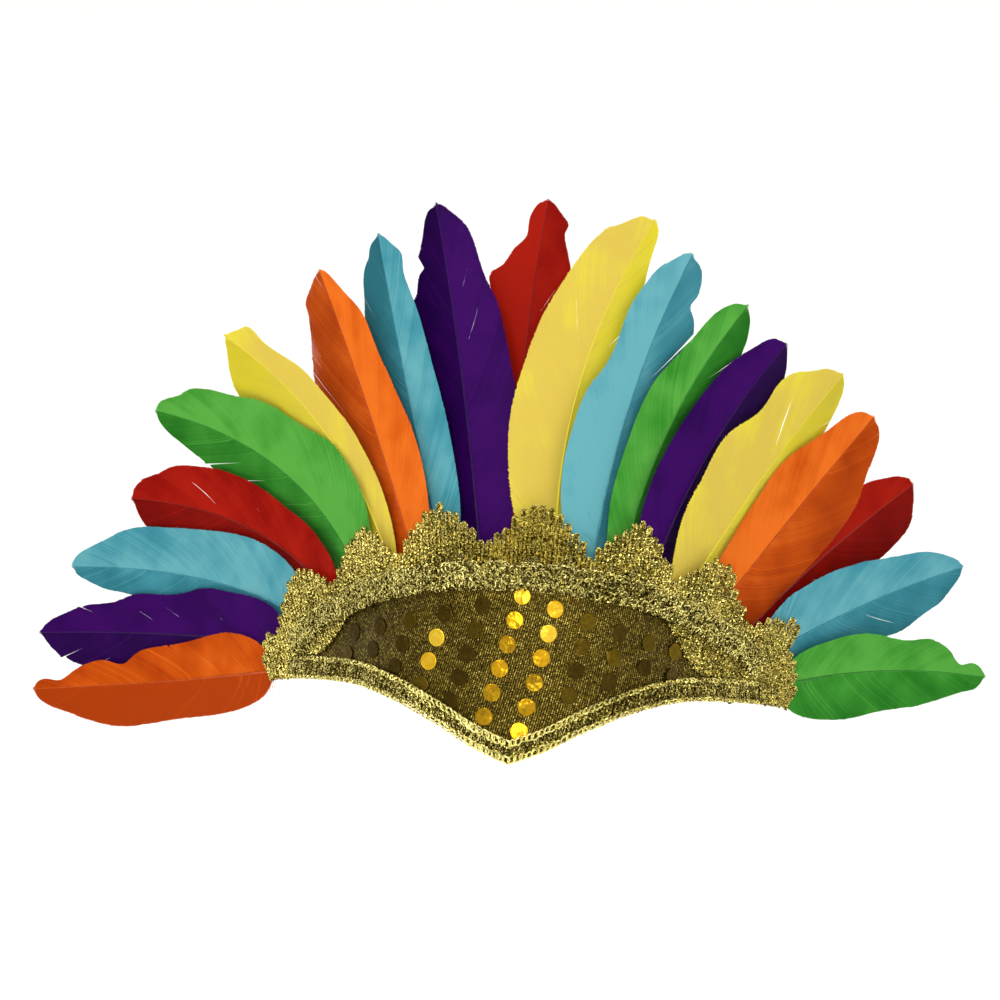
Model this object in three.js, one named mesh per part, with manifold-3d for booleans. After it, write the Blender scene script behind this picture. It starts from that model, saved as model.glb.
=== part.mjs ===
// Carnival feather headdress: a stiff sequinned tiara panel edged with gold braid and lace,
// a fan of dyed goose feathers glued behind it, and an elastic strap round the head.
// Millimetres, +Z up. The front faces -Y, and the origin is the middle of the head opening.
import * as THREE from 'three';
import { mergeVertices } from 'three/addons/utils/BufferGeometryUtils.js';
import Module from 'manifold-3d';

const wasm = await Module();
wasm.setup();

// Fits
const GLUE_GAP = 0.3;
const HEAD_EASE = 0.5;

// Head opening
const HEAD_HALF_WIDTH = 73;
const HEAD_HALF_DEPTH = 93;

// Front panel
const PANEL_THICKNESS = 2.5;
const PANEL_BEND_RADIUS = 92;
const PANEL_BENT_HALF = 75;
const PANEL_LEAN = 8;
const PANEL_HALF_LENGTH = 144;
const PANEL_TOP = 57;
const ARCH_RADIUS = 200;
const POINT_DROP = 24.5;
const PANEL_COLUMNS = 32;

// Sequins
const SEQUIN_DIAMETER = 7.5;
const SEQUIN_RAISE = 0.4;
const SEQUIN_ROOT = 0.5;
const SEQUIN_SIDES = 10;
const SEQUIN_COLUMN_PITCH = 16.5;
const SEQUIN_ROW_PITCH = 10.4;
const SEQUIN_SLANT = 15;
const SEQUIN_START_ALONG = 0;
const SEQUIN_START_UP = 36.4;
const SEQUIN_TUCK = 2.5;

// Lower braid
const LOWER_BRAID_WIDTH = 10;
const LOWER_BRAID_THICKNESS = 2.4;
const LOWER_BRAID_LOOP = 9;

// Upper braid
const UPPER_BRAID_WIDTH = 12;
const UPPER_BRAID_THICKNESS = 3.6;
const UPPER_BRAID_LOOP = 11;
const UPPER_BRAID_ABOVE_EDGE = 4;

// Scalloped lace
const LACE_THICKNESS = 1;
const LACE_HALF_SPREAD = 48;
const LACE_LAP = 5;
const LACE_VALLEY = 10;
const LACE_PEAK = 29;
const LACE_END_HEIGHT = 16;
const LACE_END_ROUND = 4;
const LACE_SCALLOP_PITCH = 13.3;
const LACE_SCALLOP_START = 2.6;
const LACE_SCALLOP_POINT = 1.3;
const LACE_RIB_PITCH = 3.8;
const LACE_SLIT_WIDTH = 1;
const LACE_SLIT_DEPTH = 10;
const LACE_SLIT_NICK = 1;

// Elastic strap
const STRAP_WIDTH = 10;
const STRAP_THICKNESS = 1.2;
const STRAP_TAB_START = 68;
const STRAP_TAB_END = 88;
const STRAP_TAB_UP = 3;
const STRAP_BEND_RUN = 2.5;
const STRAP_BEND_DEPTH = 1.2;
const STRAP_RUN_STEPS = 8;
const STRAP_BACK_STEPS = 28;

// Feathers
const FEATHER_LENGTH = 165;
const VANE_WIDTH = 22;
const VANE_EDGE = 0.7;
const VANE_ROOT_FULLNESS = 0.7;
const QUILL_DIAMETER = 2.4;
const QUILL_TIP_DIAMETER = 1;
const QUILL_PAST_SEAT = 12;
const SEAT_BELOW_EDGE = 12;
const BARE_PAST_EDGE = 3;
const ROOT_LENGTH = 34;
const VANE_STEPS = 10;

// Bottom edge of the panel from the middle to its end. along: share of the half length,
// drop: share of the point's drop.
const BOTTOM_EDGE = [
  { along: 0.0, drop: 1.0 },
  { along: 0.1, drop: 0.76 },
  { along: 0.21, drop: 0.44 },
  { along: 0.35, drop: 0.16 },
  { along: 0.49, drop: 0.04 },
  { along: 0.62, drop: 0.07 },
  { along: 0.85, drop: 0.27 },
  { along: 1.0, drop: 0.45 },
];

// Feathers from left to right. seat: degrees round the panel's arch, lean: degrees from
// upright, curl: degrees that a feather of FEATHER_LENGTH would bend forward, tuck: degrees
// that the inner edge turns forward, back: degrees that the root bends back over the panel's
// edge, set: extra depth as a share of the quill.
// length is a share of FEATHER_LENGTH and bow of the feather's own length. left and right are
// the widths of its two vanes as shares of VANE_WIDTH, widest at the share leftAt or rightAt
// of its length, and blunt is how square its tip is.
const FEATHERS = [
  { dye: 'orange', seat: -41, lean: -104.5, length: 1.13, bow: 0.0, curl: 33, tuck: 13, back: 0,
    left: 0.92, leftAt: 0.7, right: 0.88, rightAt: 0.35, blunt: 1.5, set: 0 },
  { dye: 'purple', seat: -37.5, lean: -97.5, length: 1.15, bow: 0.02, curl: 33, tuck: 11, back: 0,
    left: 1.0, leftAt: 0.7, right: 1.03, rightAt: 0.36, blunt: 1.5, set: 0 },
  { dye: 'turquoise', seat: -33.8, lean: -88.5, length: 1.1, bow: 0.05, curl: 33, tuck: 11, back: 0,
    left: 0.75, leftAt: 0.6, right: 1.15, rightAt: 0.42, blunt: 2, set: 0 },
  { dye: 'red', seat: -29.5, lean: -77, length: 0.99, bow: 0.08, curl: 33, tuck: 10, back: 0,
    left: 1.0, leftAt: 0.72, right: 0.98, rightAt: 0.6, blunt: 2.4, set: 0 },
  { dye: 'green', seat: -24.8, lean: -64, length: 1.04, bow: 0.09, curl: 35, tuck: 11, back: 0,
    left: 1.1, leftAt: 0.66, right: 1.4, rightAt: 0.36, blunt: 1.5, set: 0 },
  { dye: 'yellow', seat: -18.5, lean: -49.5, length: 1.01, bow: 0.07, curl: 25, tuck: 14, back: 5,
    left: 1.15, leftAt: 0.72, right: 0.68, rightAt: 0.5, blunt: 2.4, set: 0 },
  { dye: 'orange', seat: -13.4, lean: -31.5, length: 0.99, bow: -0.01, curl: 18, tuck: 19, back: 10,
    left: 1.3, leftAt: 0.62, right: 1.05, rightAt: 0.45, blunt: 1.5, set: 0 },
  { dye: 'turquoise', seat: -8.8, lean: -22, length: 1.02, bow: -0.02, curl: 11, tuck: 19, back: 11,
    left: 0.95, leftAt: 0.68, right: 0.84, rightAt: 0.45, blunt: 1.6, set: 0.15 },
  { dye: 'purple', seat: -4.6, lean: -14, length: 1.07, bow: 0.01, curl: 6, tuck: 10, back: 12,
    left: 0.85, leftAt: 0.62, right: 1.08, rightAt: 0.5, blunt: 1.6, set: 0 },
  { dye: 'red', seat: 0.4, lean: 0.5, length: 1.08, bow: -0.03, curl: 5, tuck: -3, back: 16,
    left: 0.82, leftAt: 0.6, right: 0.86, rightAt: 0.62, blunt: 1.5, set: 0 },
  { dye: 'yellow', seat: 5.8, lean: 14, length: 1.03, bow: -0.08, curl: 11, tuck: 10, back: 9,
    left: 1.2, leftAt: 0.56, right: 0.52, rightAt: 0.72, blunt: 1.9, set: 0 },
  { dye: 'turquoise', seat: 10.2, lean: 18.5, length: 0.97, bow: -0.04, curl: 14, tuck: 14, back: 8,
    left: 1.1, leftAt: 0.5, right: 0.92, rightAt: 0.7, blunt: 1.7, set: 0 },
  { dye: 'green', seat: 14.2, lean: 28.5, length: 0.91, bow: -0.06, curl: 16, tuck: 16, back: 7,
    left: 0.84, leftAt: 0.52, right: 0.72, rightAt: 0.74, blunt: 1.9, set: 0 },
  { dye: 'purple', seat: 18.2, lean: 37, length: 0.89, bow: -0.04, curl: 17, tuck: 18, back: 6,
    left: 1.08, leftAt: 0.46, right: 0.74, rightAt: 0.78, blunt: 2.4, set: 0.15 },
  { dye: 'yellow', seat: 23.6, lean: 47.5, length: 0.96, bow: 0.0, curl: 19, tuck: 12, back: 3,
    left: 1.46, leftAt: 0.48, right: 0.76, rightAt: 0.78, blunt: 1.6, set: 0 },
  { dye: 'orange', seat: 28.8, lean: 52, length: 0.93, bow: 0.02, curl: 20, tuck: 2, back: 3,
    left: 0.98, leftAt: 0.6, right: 1.22, rightAt: 0.68, blunt: 1.6, set: 0 },
  { dye: 'red', seat: 34.2, lean: 65.5, length: 1.02, bow: -0.01, curl: 10, tuck: -6, back: 7.5,
    left: 0.7, leftAt: 0.74, right: 0.95, rightAt: 0.74, blunt: 2, set: 0.15 },
  { dye: 'turquoise', seat: 38.2, lean: 76.5, length: 0.96, bow: -0.02, curl: 12, tuck: 9, back: 1,
    left: 1.0, leftAt: 0.4, right: 0.92, rightAt: 0.7, blunt: 1.6, set: 0 },
  { dye: 'green', seat: 42.2, lean: 93, length: 0.93, bow: -0.04, curl: 14, tuck: 10, back: 0,
    left: 0.8, leftAt: 0.42, right: 0.97, rightAt: 0.42, blunt: 1.6, set: 0 },
];

// Colours
const GOLD_KNIT = '#7d6a24';
const GOLD_BRAID = '#c9a63a';
const GOLD_LACE = '#b8952f';
const STRAP_BLACK = '#1c1a1a';
const DYES = {
  orange: '#e0601a',
  purple: '#33085f',
  turquoise: '#4fb3c6',
  red: '#9a1c18',
  green: '#3d9a38',
  yellow: '#e6d552',
};

const PANEL_FRONT_Y = -(HEAD_HALF_DEPTH + HEAD_EASE + PANEL_THICKNESS);
const ARCH_CENTRE_UP = PANEL_TOP - ARCH_RADIUS;
const radians = THREE.MathUtils.degToRad;

// The panel's bent front face: the point that lies a distance along it from the middle, up
// its lean and out from it, with the directions there.
function onPanel(along, up, out) {
  const turn = THREE.MathUtils.clamp(along, -PANEL_BENT_HALF, PANEL_BENT_HALF) / PANEL_BEND_RADIUS;
  const straight = along - turn * PANEL_BEND_RADIUS;
  const facing = new THREE.Vector3(Math.sin(turn), -Math.cos(turn), 0);
  const side = new THREE.Vector3(Math.cos(turn), Math.sin(turn), 0);
  const upright = new THREE.Vector3(0, 0, 1);
  const tilt = radians(PANEL_LEAN);
  const rise = upright.clone().multiplyScalar(Math.cos(tilt)).addScaledVector(facing, -Math.sin(tilt));
  const front = facing.clone().multiplyScalar(Math.cos(tilt)).addScaledVector(upright, Math.sin(tilt));
  const point = new THREE.Vector3(0, PANEL_FRONT_Y + PANEL_BEND_RADIUS, 0);
  point.addScaledVector(facing, PANEL_BEND_RADIUS);
  point.addScaledVector(side, straight);
  point.addScaledVector(rise, up);
  point.addScaledVector(front, out);
  return { point, side, rise, front };
}

// The same face by an angle and a radius round the centre of the panel's top arch.
function onArch(angle, radius, out) {
  const turn = radians(angle);
  return onPanel(radius * Math.sin(turn), ARCH_CENTRE_UP + radius * Math.cos(turn), out);
}

// Height of the panel's bottom edge, smooth through the rows of BOTTOM_EDGE.
function bottomEdge(along) {
  const share = Math.min(Math.abs(along) / PANEL_HALF_LENGTH, 1);
  const last = BOTTOM_EDGE.length - 2;
  const row = Math.min(last, BOTTOM_EDGE.findLastIndex((entry) => entry.along <= share));
  const from = BOTTOM_EDGE[row];
  const to = BOTTOM_EDGE[row + 1];
  const step = to.along - from.along;
  const part = (share - from.along) / step;
  const slope = (index) => {
    const before = BOTTOM_EDGE[Math.max(index - 1, 0)];
    const after = BOTTOM_EDGE[Math.min(index + 1, last + 1)];
    return (after.drop - before.drop) / (after.along - before.along);
  };
  const drop = from.drop * (1 + 2 * part) * (1 - part) ** 2
    + to.drop * part ** 2 * (3 - 2 * part)
    + step * slope(row) * part * (1 - part) ** 2
    - step * slope(row + 1) * part ** 2 * (1 - part);
  return -POINT_DROP * drop;
}

function topEdge(along) {
  return ARCH_CENTRE_UP + Math.sqrt(ARCH_RADIUS ** 2 - along ** 2);
}

function solidGeometry(places, faces) {
  const geometry = new THREE.BufferGeometry();
  geometry.setAttribute('position', new THREE.Float32BufferAttribute(places, 3));
  geometry.setIndex(faces);
  return geometry;
}

// A closed skin over rings of points, each ring running the same way round the path.
function loft(rings) {
  const count = rings[0].length;
  const last = (rings.length - 1) * count;
  const faces = [];
  for (let ring = 0; ring + 1 < rings.length; ring += 1) {
    for (let corner = 0; corner < count; corner += 1) {
      const here = ring * count + corner;
      const next = ring * count + (corner + 1) % count;
      faces.push(here, next, next + count);
      faces.push(here, next + count, here + count);
    }
  }
  for (let corner = 1; corner + 1 < count; corner += 1) {
    faces.push(0, corner + 1, corner);
    faces.push(last, last + corner, last + corner + 1);
  }
  return solidGeometry(rings.flat().flatMap((point) => point.toArray()), faces);
}

function toSolid(geometry) {
  const bare = geometry.clone();
  bare.deleteAttribute('normal');
  bare.deleteAttribute('uv');
  const merged = mergeVertices(bare);
  return new wasm.Manifold(new wasm.Mesh({
    numProp: 3,
    vertProperties: new Float32Array(merged.attributes.position.array),
    triVerts: new Uint32Array(merged.index.array),
  }));
}

function toGeometry(solid) {
  const mesh = solid.getMesh();
  return solidGeometry(Array.from(mesh.vertProperties), Array.from(mesh.triVerts));
}

function material(colour, roughness, metalness) {
  return new THREE.MeshStandardMaterial({ color: colour, roughness, metalness });
}

function named(name, geometry, finish) {
  const mesh = new THREE.Mesh(geometry, finish);
  geometry.computeVertexNormals();
  mesh.name = name;
  return mesh;
}

// Stiff panel: a tiara shape bent round the forehead, covered in sequinned knit.
function panelBoard() {
  const rings = [];
  for (let column = 0; column <= PANEL_COLUMNS; column += 1) {
    const along = PANEL_HALF_LENGTH * (2 * column / PANEL_COLUMNS - 1);
    const top = topEdge(along);
    const bottom = bottomEdge(along);
    rings.push([
      onPanel(along, top, 0).point,
      onPanel(along, bottom, 0).point,
      onPanel(along, bottom, -PANEL_THICKNESS).point,
      onPanel(along, top, -PANEL_THICKNESS).point,
    ]);
  }
  return loft(rings);
}

// Sequin places: slanted columns, every other one half a step up, where the braids leave
// the knit open.
function sequinPlaces() {
  const places = [];
  const radius = SEQUIN_DIAMETER / 2;
  const slant = Math.tan(radians(SEQUIN_SLANT));
  const columns = Math.ceil(PANEL_HALF_LENGTH / SEQUIN_COLUMN_PITCH) + 1;
  const rows = Math.ceil((PANEL_TOP + POINT_DROP) / SEQUIN_ROW_PITCH);
  const openRadius = ARCH_RADIUS + UPPER_BRAID_ABOVE_EDGE - UPPER_BRAID_WIDTH;
  for (let column = -columns; column <= columns; column += 1) {
    for (let row = -rows; row <= rows; row += 1) {
      const stagger = column % 2 === 0 ? 0 : 0.5;
      const rowUp = (row + stagger) * SEQUIN_ROW_PITCH;
      const up = SEQUIN_START_UP + rowUp;
      const along = SEQUIN_START_ALONG + column * SEQUIN_COLUMN_PITCH + rowUp * slant;
      const belowArch = openRadius - Math.hypot(along, up - ARCH_CENTRE_UP);
      const aboveBraid = up - bottomEdge(along) - LOWER_BRAID_WIDTH;
      if (Math.min(belowArch, aboveBraid) > radius - SEQUIN_TUCK) {
        places.push({ along, up });
      }
    }
  }
  return places;
}

function sequinDisc({ along, up }) {
  const height = SEQUIN_RAISE + SEQUIN_ROOT;
  const radius = SEQUIN_DIAMETER / 2;
  const disc = new THREE.CylinderGeometry(radius, radius, height, SEQUIN_SIDES);
  const seat = onPanel(along, up, SEQUIN_RAISE - height / 2);
  const turn = new THREE.Matrix4().makeBasis(seat.side, seat.front, seat.rise.negate());
  turn.setPosition(seat.point);
  return disc.applyMatrix4(turn);
}

function frontPanel() {
  let panel = toSolid(panelBoard());
  for (const place of sequinPlaces()) {
    panel = panel.add(toSolid(sequinDisc(place)));
  }
  return named('front_panel', toGeometry(panel), material(GOLD_KNIT, 0.45, 0.6));
}

// Half of a gimp braid's section, from its edge to its middle. across: share of the half
// width, raised: share of the thickness.
const BRAID_SECTION = [
  { across: 1.0, raised: 0.0 },
  { across: 0.9, raised: 0.65 },
  { across: 0.48, raised: 1.0 },
];
const BRAID_MIDDLE_RAISE = 0.66;
const BRAID_EDGE_WAVE = 0.07;
const BRAID_STEPS_PER_LOOP = 2;
const BRAID_REACH_STEP = 0.5;

// One ring of a braid: place(across) gives the frame at a distance across the braid.
function braidRing(place, width, thickness, base, wave) {
  const half = width / 2 * (1 + BRAID_EDGE_WAVE * wave);
  const high = thickness * (1 + BRAID_EDGE_WAVE * wave);
  const upper = BRAID_SECTION.map((row) => place(half * row.across, base + high * row.raised));
  const middle = place(0, base + high * BRAID_MIDDLE_RAISE);
  const lower = BRAID_SECTION.map((row) => place(-half * row.across, base + high * row.raised));
  return [...upper, middle, ...lower.reverse()];
}

// How far along the panel the lower braid's upper edge runs before it meets a circle of the
// arch, a glue gap short of it.
function lowerBraidReach(radius) {
  const upperEdge = LOWER_BRAID_WIDTH / 2 * (2 + BRAID_EDGE_WAVE);
  const gapAt = (along) => {
    const up = bottomEdge(along) + upperEdge;
    return radius - Math.hypot(along, up - ARCH_CENTRE_UP);
  };
  let reach = 0;
  while (reach < PANEL_HALF_LENGTH && gapAt(reach + BRAID_REACH_STEP) > GLUE_GAP) {
    reach += BRAID_REACH_STEP;
  }
  return reach;
}

function lowerBraid() {
  const base = SEQUIN_RAISE + GLUE_GAP;
  const reach = lowerBraidReach(ARCH_RADIUS - LACE_LAP);
  const steps = 2 * Math.round(reach / LOWER_BRAID_LOOP) * BRAID_STEPS_PER_LOOP;
  const rings = [];
  for (let step = 0; step <= steps; step += 1) {
    const along = reach * (2 * step / steps - 1);
    const wave = step % 2 === 0 ? -1 : 1;
    const place = (across, out) => {
      const up = bottomEdge(along) + LOWER_BRAID_WIDTH / 2 + across;
      return onPanel(along, up, out).point;
    };
    rings.push(braidRing(place, LOWER_BRAID_WIDTH, LOWER_BRAID_THICKNESS, base, wave));
  }
  return named('lower_braid', loft(rings), material(GOLD_BRAID, 0.35, 0.8));
}

function upperBraid() {
  const base = LACE_THICKNESS + 2 * GLUE_GAP;
  const middle = ARCH_RADIUS + UPPER_BRAID_ABOVE_EDGE - UPPER_BRAID_WIDTH / 2;
  const lowerEdge = middle - UPPER_BRAID_WIDTH * (1 + BRAID_EDGE_WAVE) / 2;
  const spread = THREE.MathUtils.radToDeg(Math.asin(lowerBraidReach(lowerEdge) / lowerEdge));
  const loops = Math.round(2 * radians(spread) * ARCH_RADIUS / UPPER_BRAID_LOOP);
  const steps = loops * BRAID_STEPS_PER_LOOP;
  const rings = [];
  for (let step = 0; step <= steps; step += 1) {
    const angle = spread * (2 * step / steps - 1);
    const wave = step % 2 === 0 ? -1 : 1;
    const place = (across, out) => onArch(angle, middle + across, out).point;
    rings.push(braidRing(place, UPPER_BRAID_WIDTH, UPPER_BRAID_THICKNESS, base, wave));
  }
  return named('upper_braid', loft(rings), material(GOLD_BRAID, 0.35, 0.8));
}

// Height of the lace above the panel's edge: scallops with stepped fingers, rounded ends.
function laceTop(angle) {
  const phase = (angle - LACE_SCALLOP_START) / LACE_SCALLOP_PITCH;
  const off = Math.abs(phase - Math.round(phase)) * 2;
  const scallop = LACE_VALLEY + (LACE_PEAK - LACE_VALLEY) * (1 - off ** LACE_SCALLOP_POINT);
  const toEnd = (LACE_HALF_SPREAD - Math.abs(angle)) / LACE_END_ROUND;
  if (toEnd >= 1) {
    return scallop;
  }
  return Math.min(scallop, LACE_END_HEIGHT * Math.sqrt(1 - (1 - toEnd) ** 2));
}

// Lace cells across its width: a rib, then a slit that is open at the top of a scallop.
function laceCells() {
  const ribs = Math.round(2 * radians(LACE_HALF_SPREAD) * ARCH_RADIUS / LACE_RIB_PITCH);
  const pitch = 2 * LACE_HALF_SPREAD / ribs;
  const slit = THREE.MathUtils.radToDeg(LACE_SLIT_WIDTH / ARCH_RADIUS);
  const cells = [];
  for (let rib = 0; rib < ribs; rib += 1) {
    const start = rib * pitch - LACE_HALF_SPREAD;
    const end = start + pitch;
    const top = laceTop(start + pitch / 2);
    const nextTop = rib + 1 < ribs ? laceTop(end + pitch / 2) : top;
    const lower = Math.min(top, nextTop);
    const openShare = Math.max(0, (lower - LACE_VALLEY) / (LACE_PEAK - LACE_VALLEY));
    cells.push({ start, end: end - slit, top });
    cells.push({ start: end - slit, end, top: lower - LACE_SLIT_NICK - LACE_SLIT_DEPTH * openShare });
  }
  return cells;
}

// Corners of the lace on each line between two cells: at the foot and at both cells' tops.
function laceColumns(cells, addCorner) {
  const columns = [];
  for (let line = 0; line <= cells.length; line += 1) {
    const angle = line < cells.length ? cells[line].start : cells[line - 1].end;
    const beside = cells.slice(Math.max(line - 1, 0), line + 1);
    const heights = new Set([-LACE_LAP, ...beside.map((cell) => cell.top)]);
    const sorted = [...heights].sort((lower, higher) => lower - higher);
    columns.push(sorted.map((height) => ({
      height,
      front: addCorner(angle, height, GLUE_GAP + LACE_THICKNESS),
      back: addCorner(angle, height, GLUE_GAP),
    })));
  }
  return columns;
}

// A wall of cells side by side, each as high as its own top, closed into one skin.
function scallopedLace() {
  const cells = laceCells();
  const places = [];
  const faces = [];
  const addCorner = (angle, height, out) => {
    places.push(...onArch(angle, ARCH_RADIUS + height, out).point.toArray());
    return places.length / 3 - 1;
  };
  const addQuad = (a, b, c, d) => faces.push(a, b, c, a, c, d);
  const addBothSides = (a, b, c) => {
    faces.push(a.front, b.front, c.front);
    faces.push(a.back, c.back, b.back);
  };
  const columns = laceColumns(cells, addCorner);
  cells.forEach((cell, index) => {
    const left = columns[index].filter((point) => point.height <= cell.top);
    const right = columns[index + 1].filter((point) => point.height <= cell.top);
    const topLeft = left[left.length - 1];
    const topRight = right[right.length - 1];
    for (let step = 1; step < right.length; step += 1) {
      addBothSides(left[0], right[step - 1], right[step]);
    }
    for (let step = 1; step < left.length; step += 1) {
      addBothSides(left[step - 1], topRight, left[step]);
    }
    addQuad(topLeft.front, topRight.front, topRight.back, topLeft.back);
    addQuad(left[0].front, left[0].back, right[0].back, right[0].front);
  });
  columns.forEach((column, line) => {
    const leftTop = line > 0 ? cells[line - 1].top : -LACE_LAP;
    for (let step = 1; step < column.length; step += 1) {
      const low = column[step - 1];
      const high = column[step];
      const endOfRightCell = high.height > leftTop;
      const endOfLeftCell = line === cells.length || high.height > cells[line].top;
      if (endOfRightCell) {
        addQuad(low.front, high.front, high.back, low.back);
      } else if (endOfLeftCell) {
        addQuad(low.front, low.back, high.back, high.front);
      }
    }
  });
  return named('scalloped_lace', solidGeometry(places, faces), material(GOLD_LACE, 0.4, 0.8));
}

// Elastic strap: a tab glued behind each end of the panel, a straight run to the side of the
// head, and the back half of the head opening's oval.
function strapStations() {
  const tabOut = -(PANEL_THICKNESS + GLUE_GAP + STRAP_THICKNESS / 2);
  const side = HEAD_HALF_WIDTH + STRAP_THICKNESS / 2;
  const back = HEAD_HALF_DEPTH + STRAP_THICKNESS / 2;
  const start = onPanel(STRAP_TAB_START, STRAP_TAB_UP, tabOut);
  const end = onPanel(STRAP_TAB_END, STRAP_TAB_UP, tabOut);
  const bend = end.point.clone().addScaledVector(end.side, STRAP_BEND_RUN);
  bend.addScaledVector(end.front, -STRAP_BEND_DEPTH);
  const right = [start, end].map((seat) => ({ point: seat.point, rise: seat.rise }));
  const upright = new THREE.Vector3(0, 0, 1);
  for (let step = 1; step <= STRAP_RUN_STEPS; step += 1) {
    const share = step / STRAP_RUN_STEPS;
    const ease = share * share * (3 - 2 * share);
    const point = bend.clone().lerp(new THREE.Vector3(side, 0, 0), share);
    point.z = THREE.MathUtils.lerp(bend.z, 0, ease);
    right.push({ point, rise: end.rise.clone().lerp(upright, ease).normalize() });
  }
  const oval = [];
  for (let step = 1; step < STRAP_BACK_STEPS; step += 1) {
    const turn = Math.PI * step / STRAP_BACK_STEPS;
    const point = new THREE.Vector3(side * Math.cos(turn), back * Math.sin(turn), 0);
    oval.push({ point, rise: upright });
  }
  const mirror = ({ point, rise }) => ({
    point: new THREE.Vector3(-point.x, point.y, point.z),
    rise: new THREE.Vector3(-rise.x, rise.y, rise.z),
  });
  return [...right, ...oval, ...right.map(mirror).reverse()];
}

function headElastic() {
  const stations = strapStations();
  const rings = stations.map((station, index) => {
    const before = stations[Math.max(index - 1, 0)].point;
    const after = stations[Math.min(index + 1, stations.length - 1)].point;
    const travel = after.clone().sub(before).normalize();
    const outward = travel.clone().cross(station.rise).normalize();
    const corner = (up, out) => station.point.clone()
      .addScaledVector(station.rise, up * STRAP_WIDTH / 2)
      .addScaledVector(outward, out * STRAP_THICKNESS / 2);
    return [corner(1, 1), corner(-1, 1), corner(-1, -1), corner(1, -1)];
  });
  return named('head_elastic', loft(rings), material(STRAP_BLACK, 0.85, 0));
}

// How far a straight feather runs from its seat until it has passed the panel's top arch.
function bareLength(feather) {
  const turn = radians(feather.lean - feather.seat);
  const seatRadius = ARCH_RADIUS - SEAT_BELOW_EDGE;
  const clearRadius = ARCH_RADIUS + BARE_PAST_EDGE;
  const along = seatRadius * Math.cos(turn);
  return Math.sqrt(along ** 2 + clearRadius ** 2 - seatRadius ** 2) - along;
}

// How far the bent panel falls back from the flat plane of a feather glued behind it,
// between the quill's end and the top edge.
function panelSag(feather) {
  const turn = radians(feather.seat);
  const lean = radians(feather.lean);
  const seatRadius = ARCH_RADIUS - SEAT_BELOW_EDGE;
  const seat = onArch(feather.seat, seatRadius, 0);
  const sags = [-QUILL_PAST_SEAT, bareLength(feather)].map((reach) => {
    const along = seatRadius * Math.sin(turn) + reach * Math.sin(lean);
    const up = ARCH_CENTRE_UP + seatRadius * Math.cos(turn) + reach * Math.cos(lean);
    return seat.point.clone().sub(onPanel(along, up, 0).point).dot(seat.front);
  });
  return Math.max(...sags);
}

// One arc of a shaft seen from its side: how far it runs on and forward, and its turn there.
function arcFrom(start, length, bend) {
  if (bend === 0) {
    return { reach: length * Math.cos(start), forward: length * Math.sin(start), turn: start };
  }
  const turn = start + bend;
  const radius = length / bend;
  const reach = radius * (Math.sin(turn) - Math.sin(start));
  const forward = radius * (Math.cos(start) - Math.cos(turn));
  return { reach, forward, turn };
}

// The shaft seen from its side: the root bends back, and the rest curls forward.
function shaftBend(feather, along) {
  if (along <= 0) {
    return { reach: along, forward: 0, turn: 0 };
  }
  const inRoot = Math.min(along, ROOT_LENGTH);
  const root = arcFrom(0, inRoot, -radians(feather.back) * inRoot / ROOT_LENGTH);
  const past = along - inRoot;
  const rest = arcFrom(root.turn, past, radians(feather.curl) * past / FEATHER_LENGTH);
  return { reach: root.reach + rest.reach, forward: root.forward + rest.forward, turn: rest.turn };
}

// The feather's shaft at a share of its length: bowed sideways and bent in its own depth,
// with the directions across its vanes and out of its front.
function shaftFrame(feather, share) {
  const depth = PANEL_THICKNESS + GLUE_GAP + QUILL_DIAMETER * (0.5 + feather.set) + panelSag(feather);
  const seat = onArch(feather.seat, ARCH_RADIUS - SEAT_BELOW_EDGE, -depth);
  const length = feather.length * FEATHER_LENGTH;
  const lean = radians(feather.lean);
  const flat = seat.rise.clone().multiplyScalar(Math.cos(lean)).addScaledVector(seat.side, Math.sin(lean));
  const across = seat.side.clone().multiplyScalar(Math.cos(lean)).addScaledVector(seat.rise, -Math.sin(lean));
  const { reach, forward, turn } = shaftBend(feather, share * length);
  const aside = 4 * feather.bow * length * share * (1 - share);
  const slope = Math.atan(4 * feather.bow * (1 - 2 * share));

  const point = seat.point.clone();
  point.addScaledVector(flat, reach).addScaledVector(across, aside).addScaledVector(seat.front, forward);
  const ahead = flat.clone().multiplyScalar(Math.cos(turn)).addScaledVector(seat.front, Math.sin(turn));
  const front = seat.front.clone().multiplyScalar(Math.cos(turn)).addScaledVector(flat, -Math.sin(turn));
  const right = across.clone().multiplyScalar(Math.cos(slope)).addScaledVector(ahead, -Math.sin(slope));
  const tuck = radians(feather.tuck) * -Math.sign(feather.seat);
  const vane = right.clone().multiplyScalar(Math.cos(tuck)).addScaledVector(front, Math.sin(tuck));
  const out = front.clone().multiplyScalar(Math.cos(tuck)).addScaledVector(right, -Math.sin(tuck));
  return { point, vane, out };
}

// Share of a vane's full width: a quick rise from its root and a round fall to the tip.
function vaneShare(share, root, widest, blunt) {
  if (share < widest) {
    return Math.sin(Math.PI / 2 * (share - root) / (widest - root)) ** VANE_ROOT_FULLNESS;
  }
  return Math.sqrt(Math.max(0, 1 - ((share - widest) / (1 - widest)) ** blunt));
}

// A shaft's front between its two vanes, as shares of its radius, and the share at its sides.
const SHAFT_CREST = [
  { across: -0.6, raised: 0.8 },
  { across: 0.0, raised: 1.0 },
  { across: 0.6, raised: 0.8 },
];
const SHAFT_SIDE = 0.4;

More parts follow.
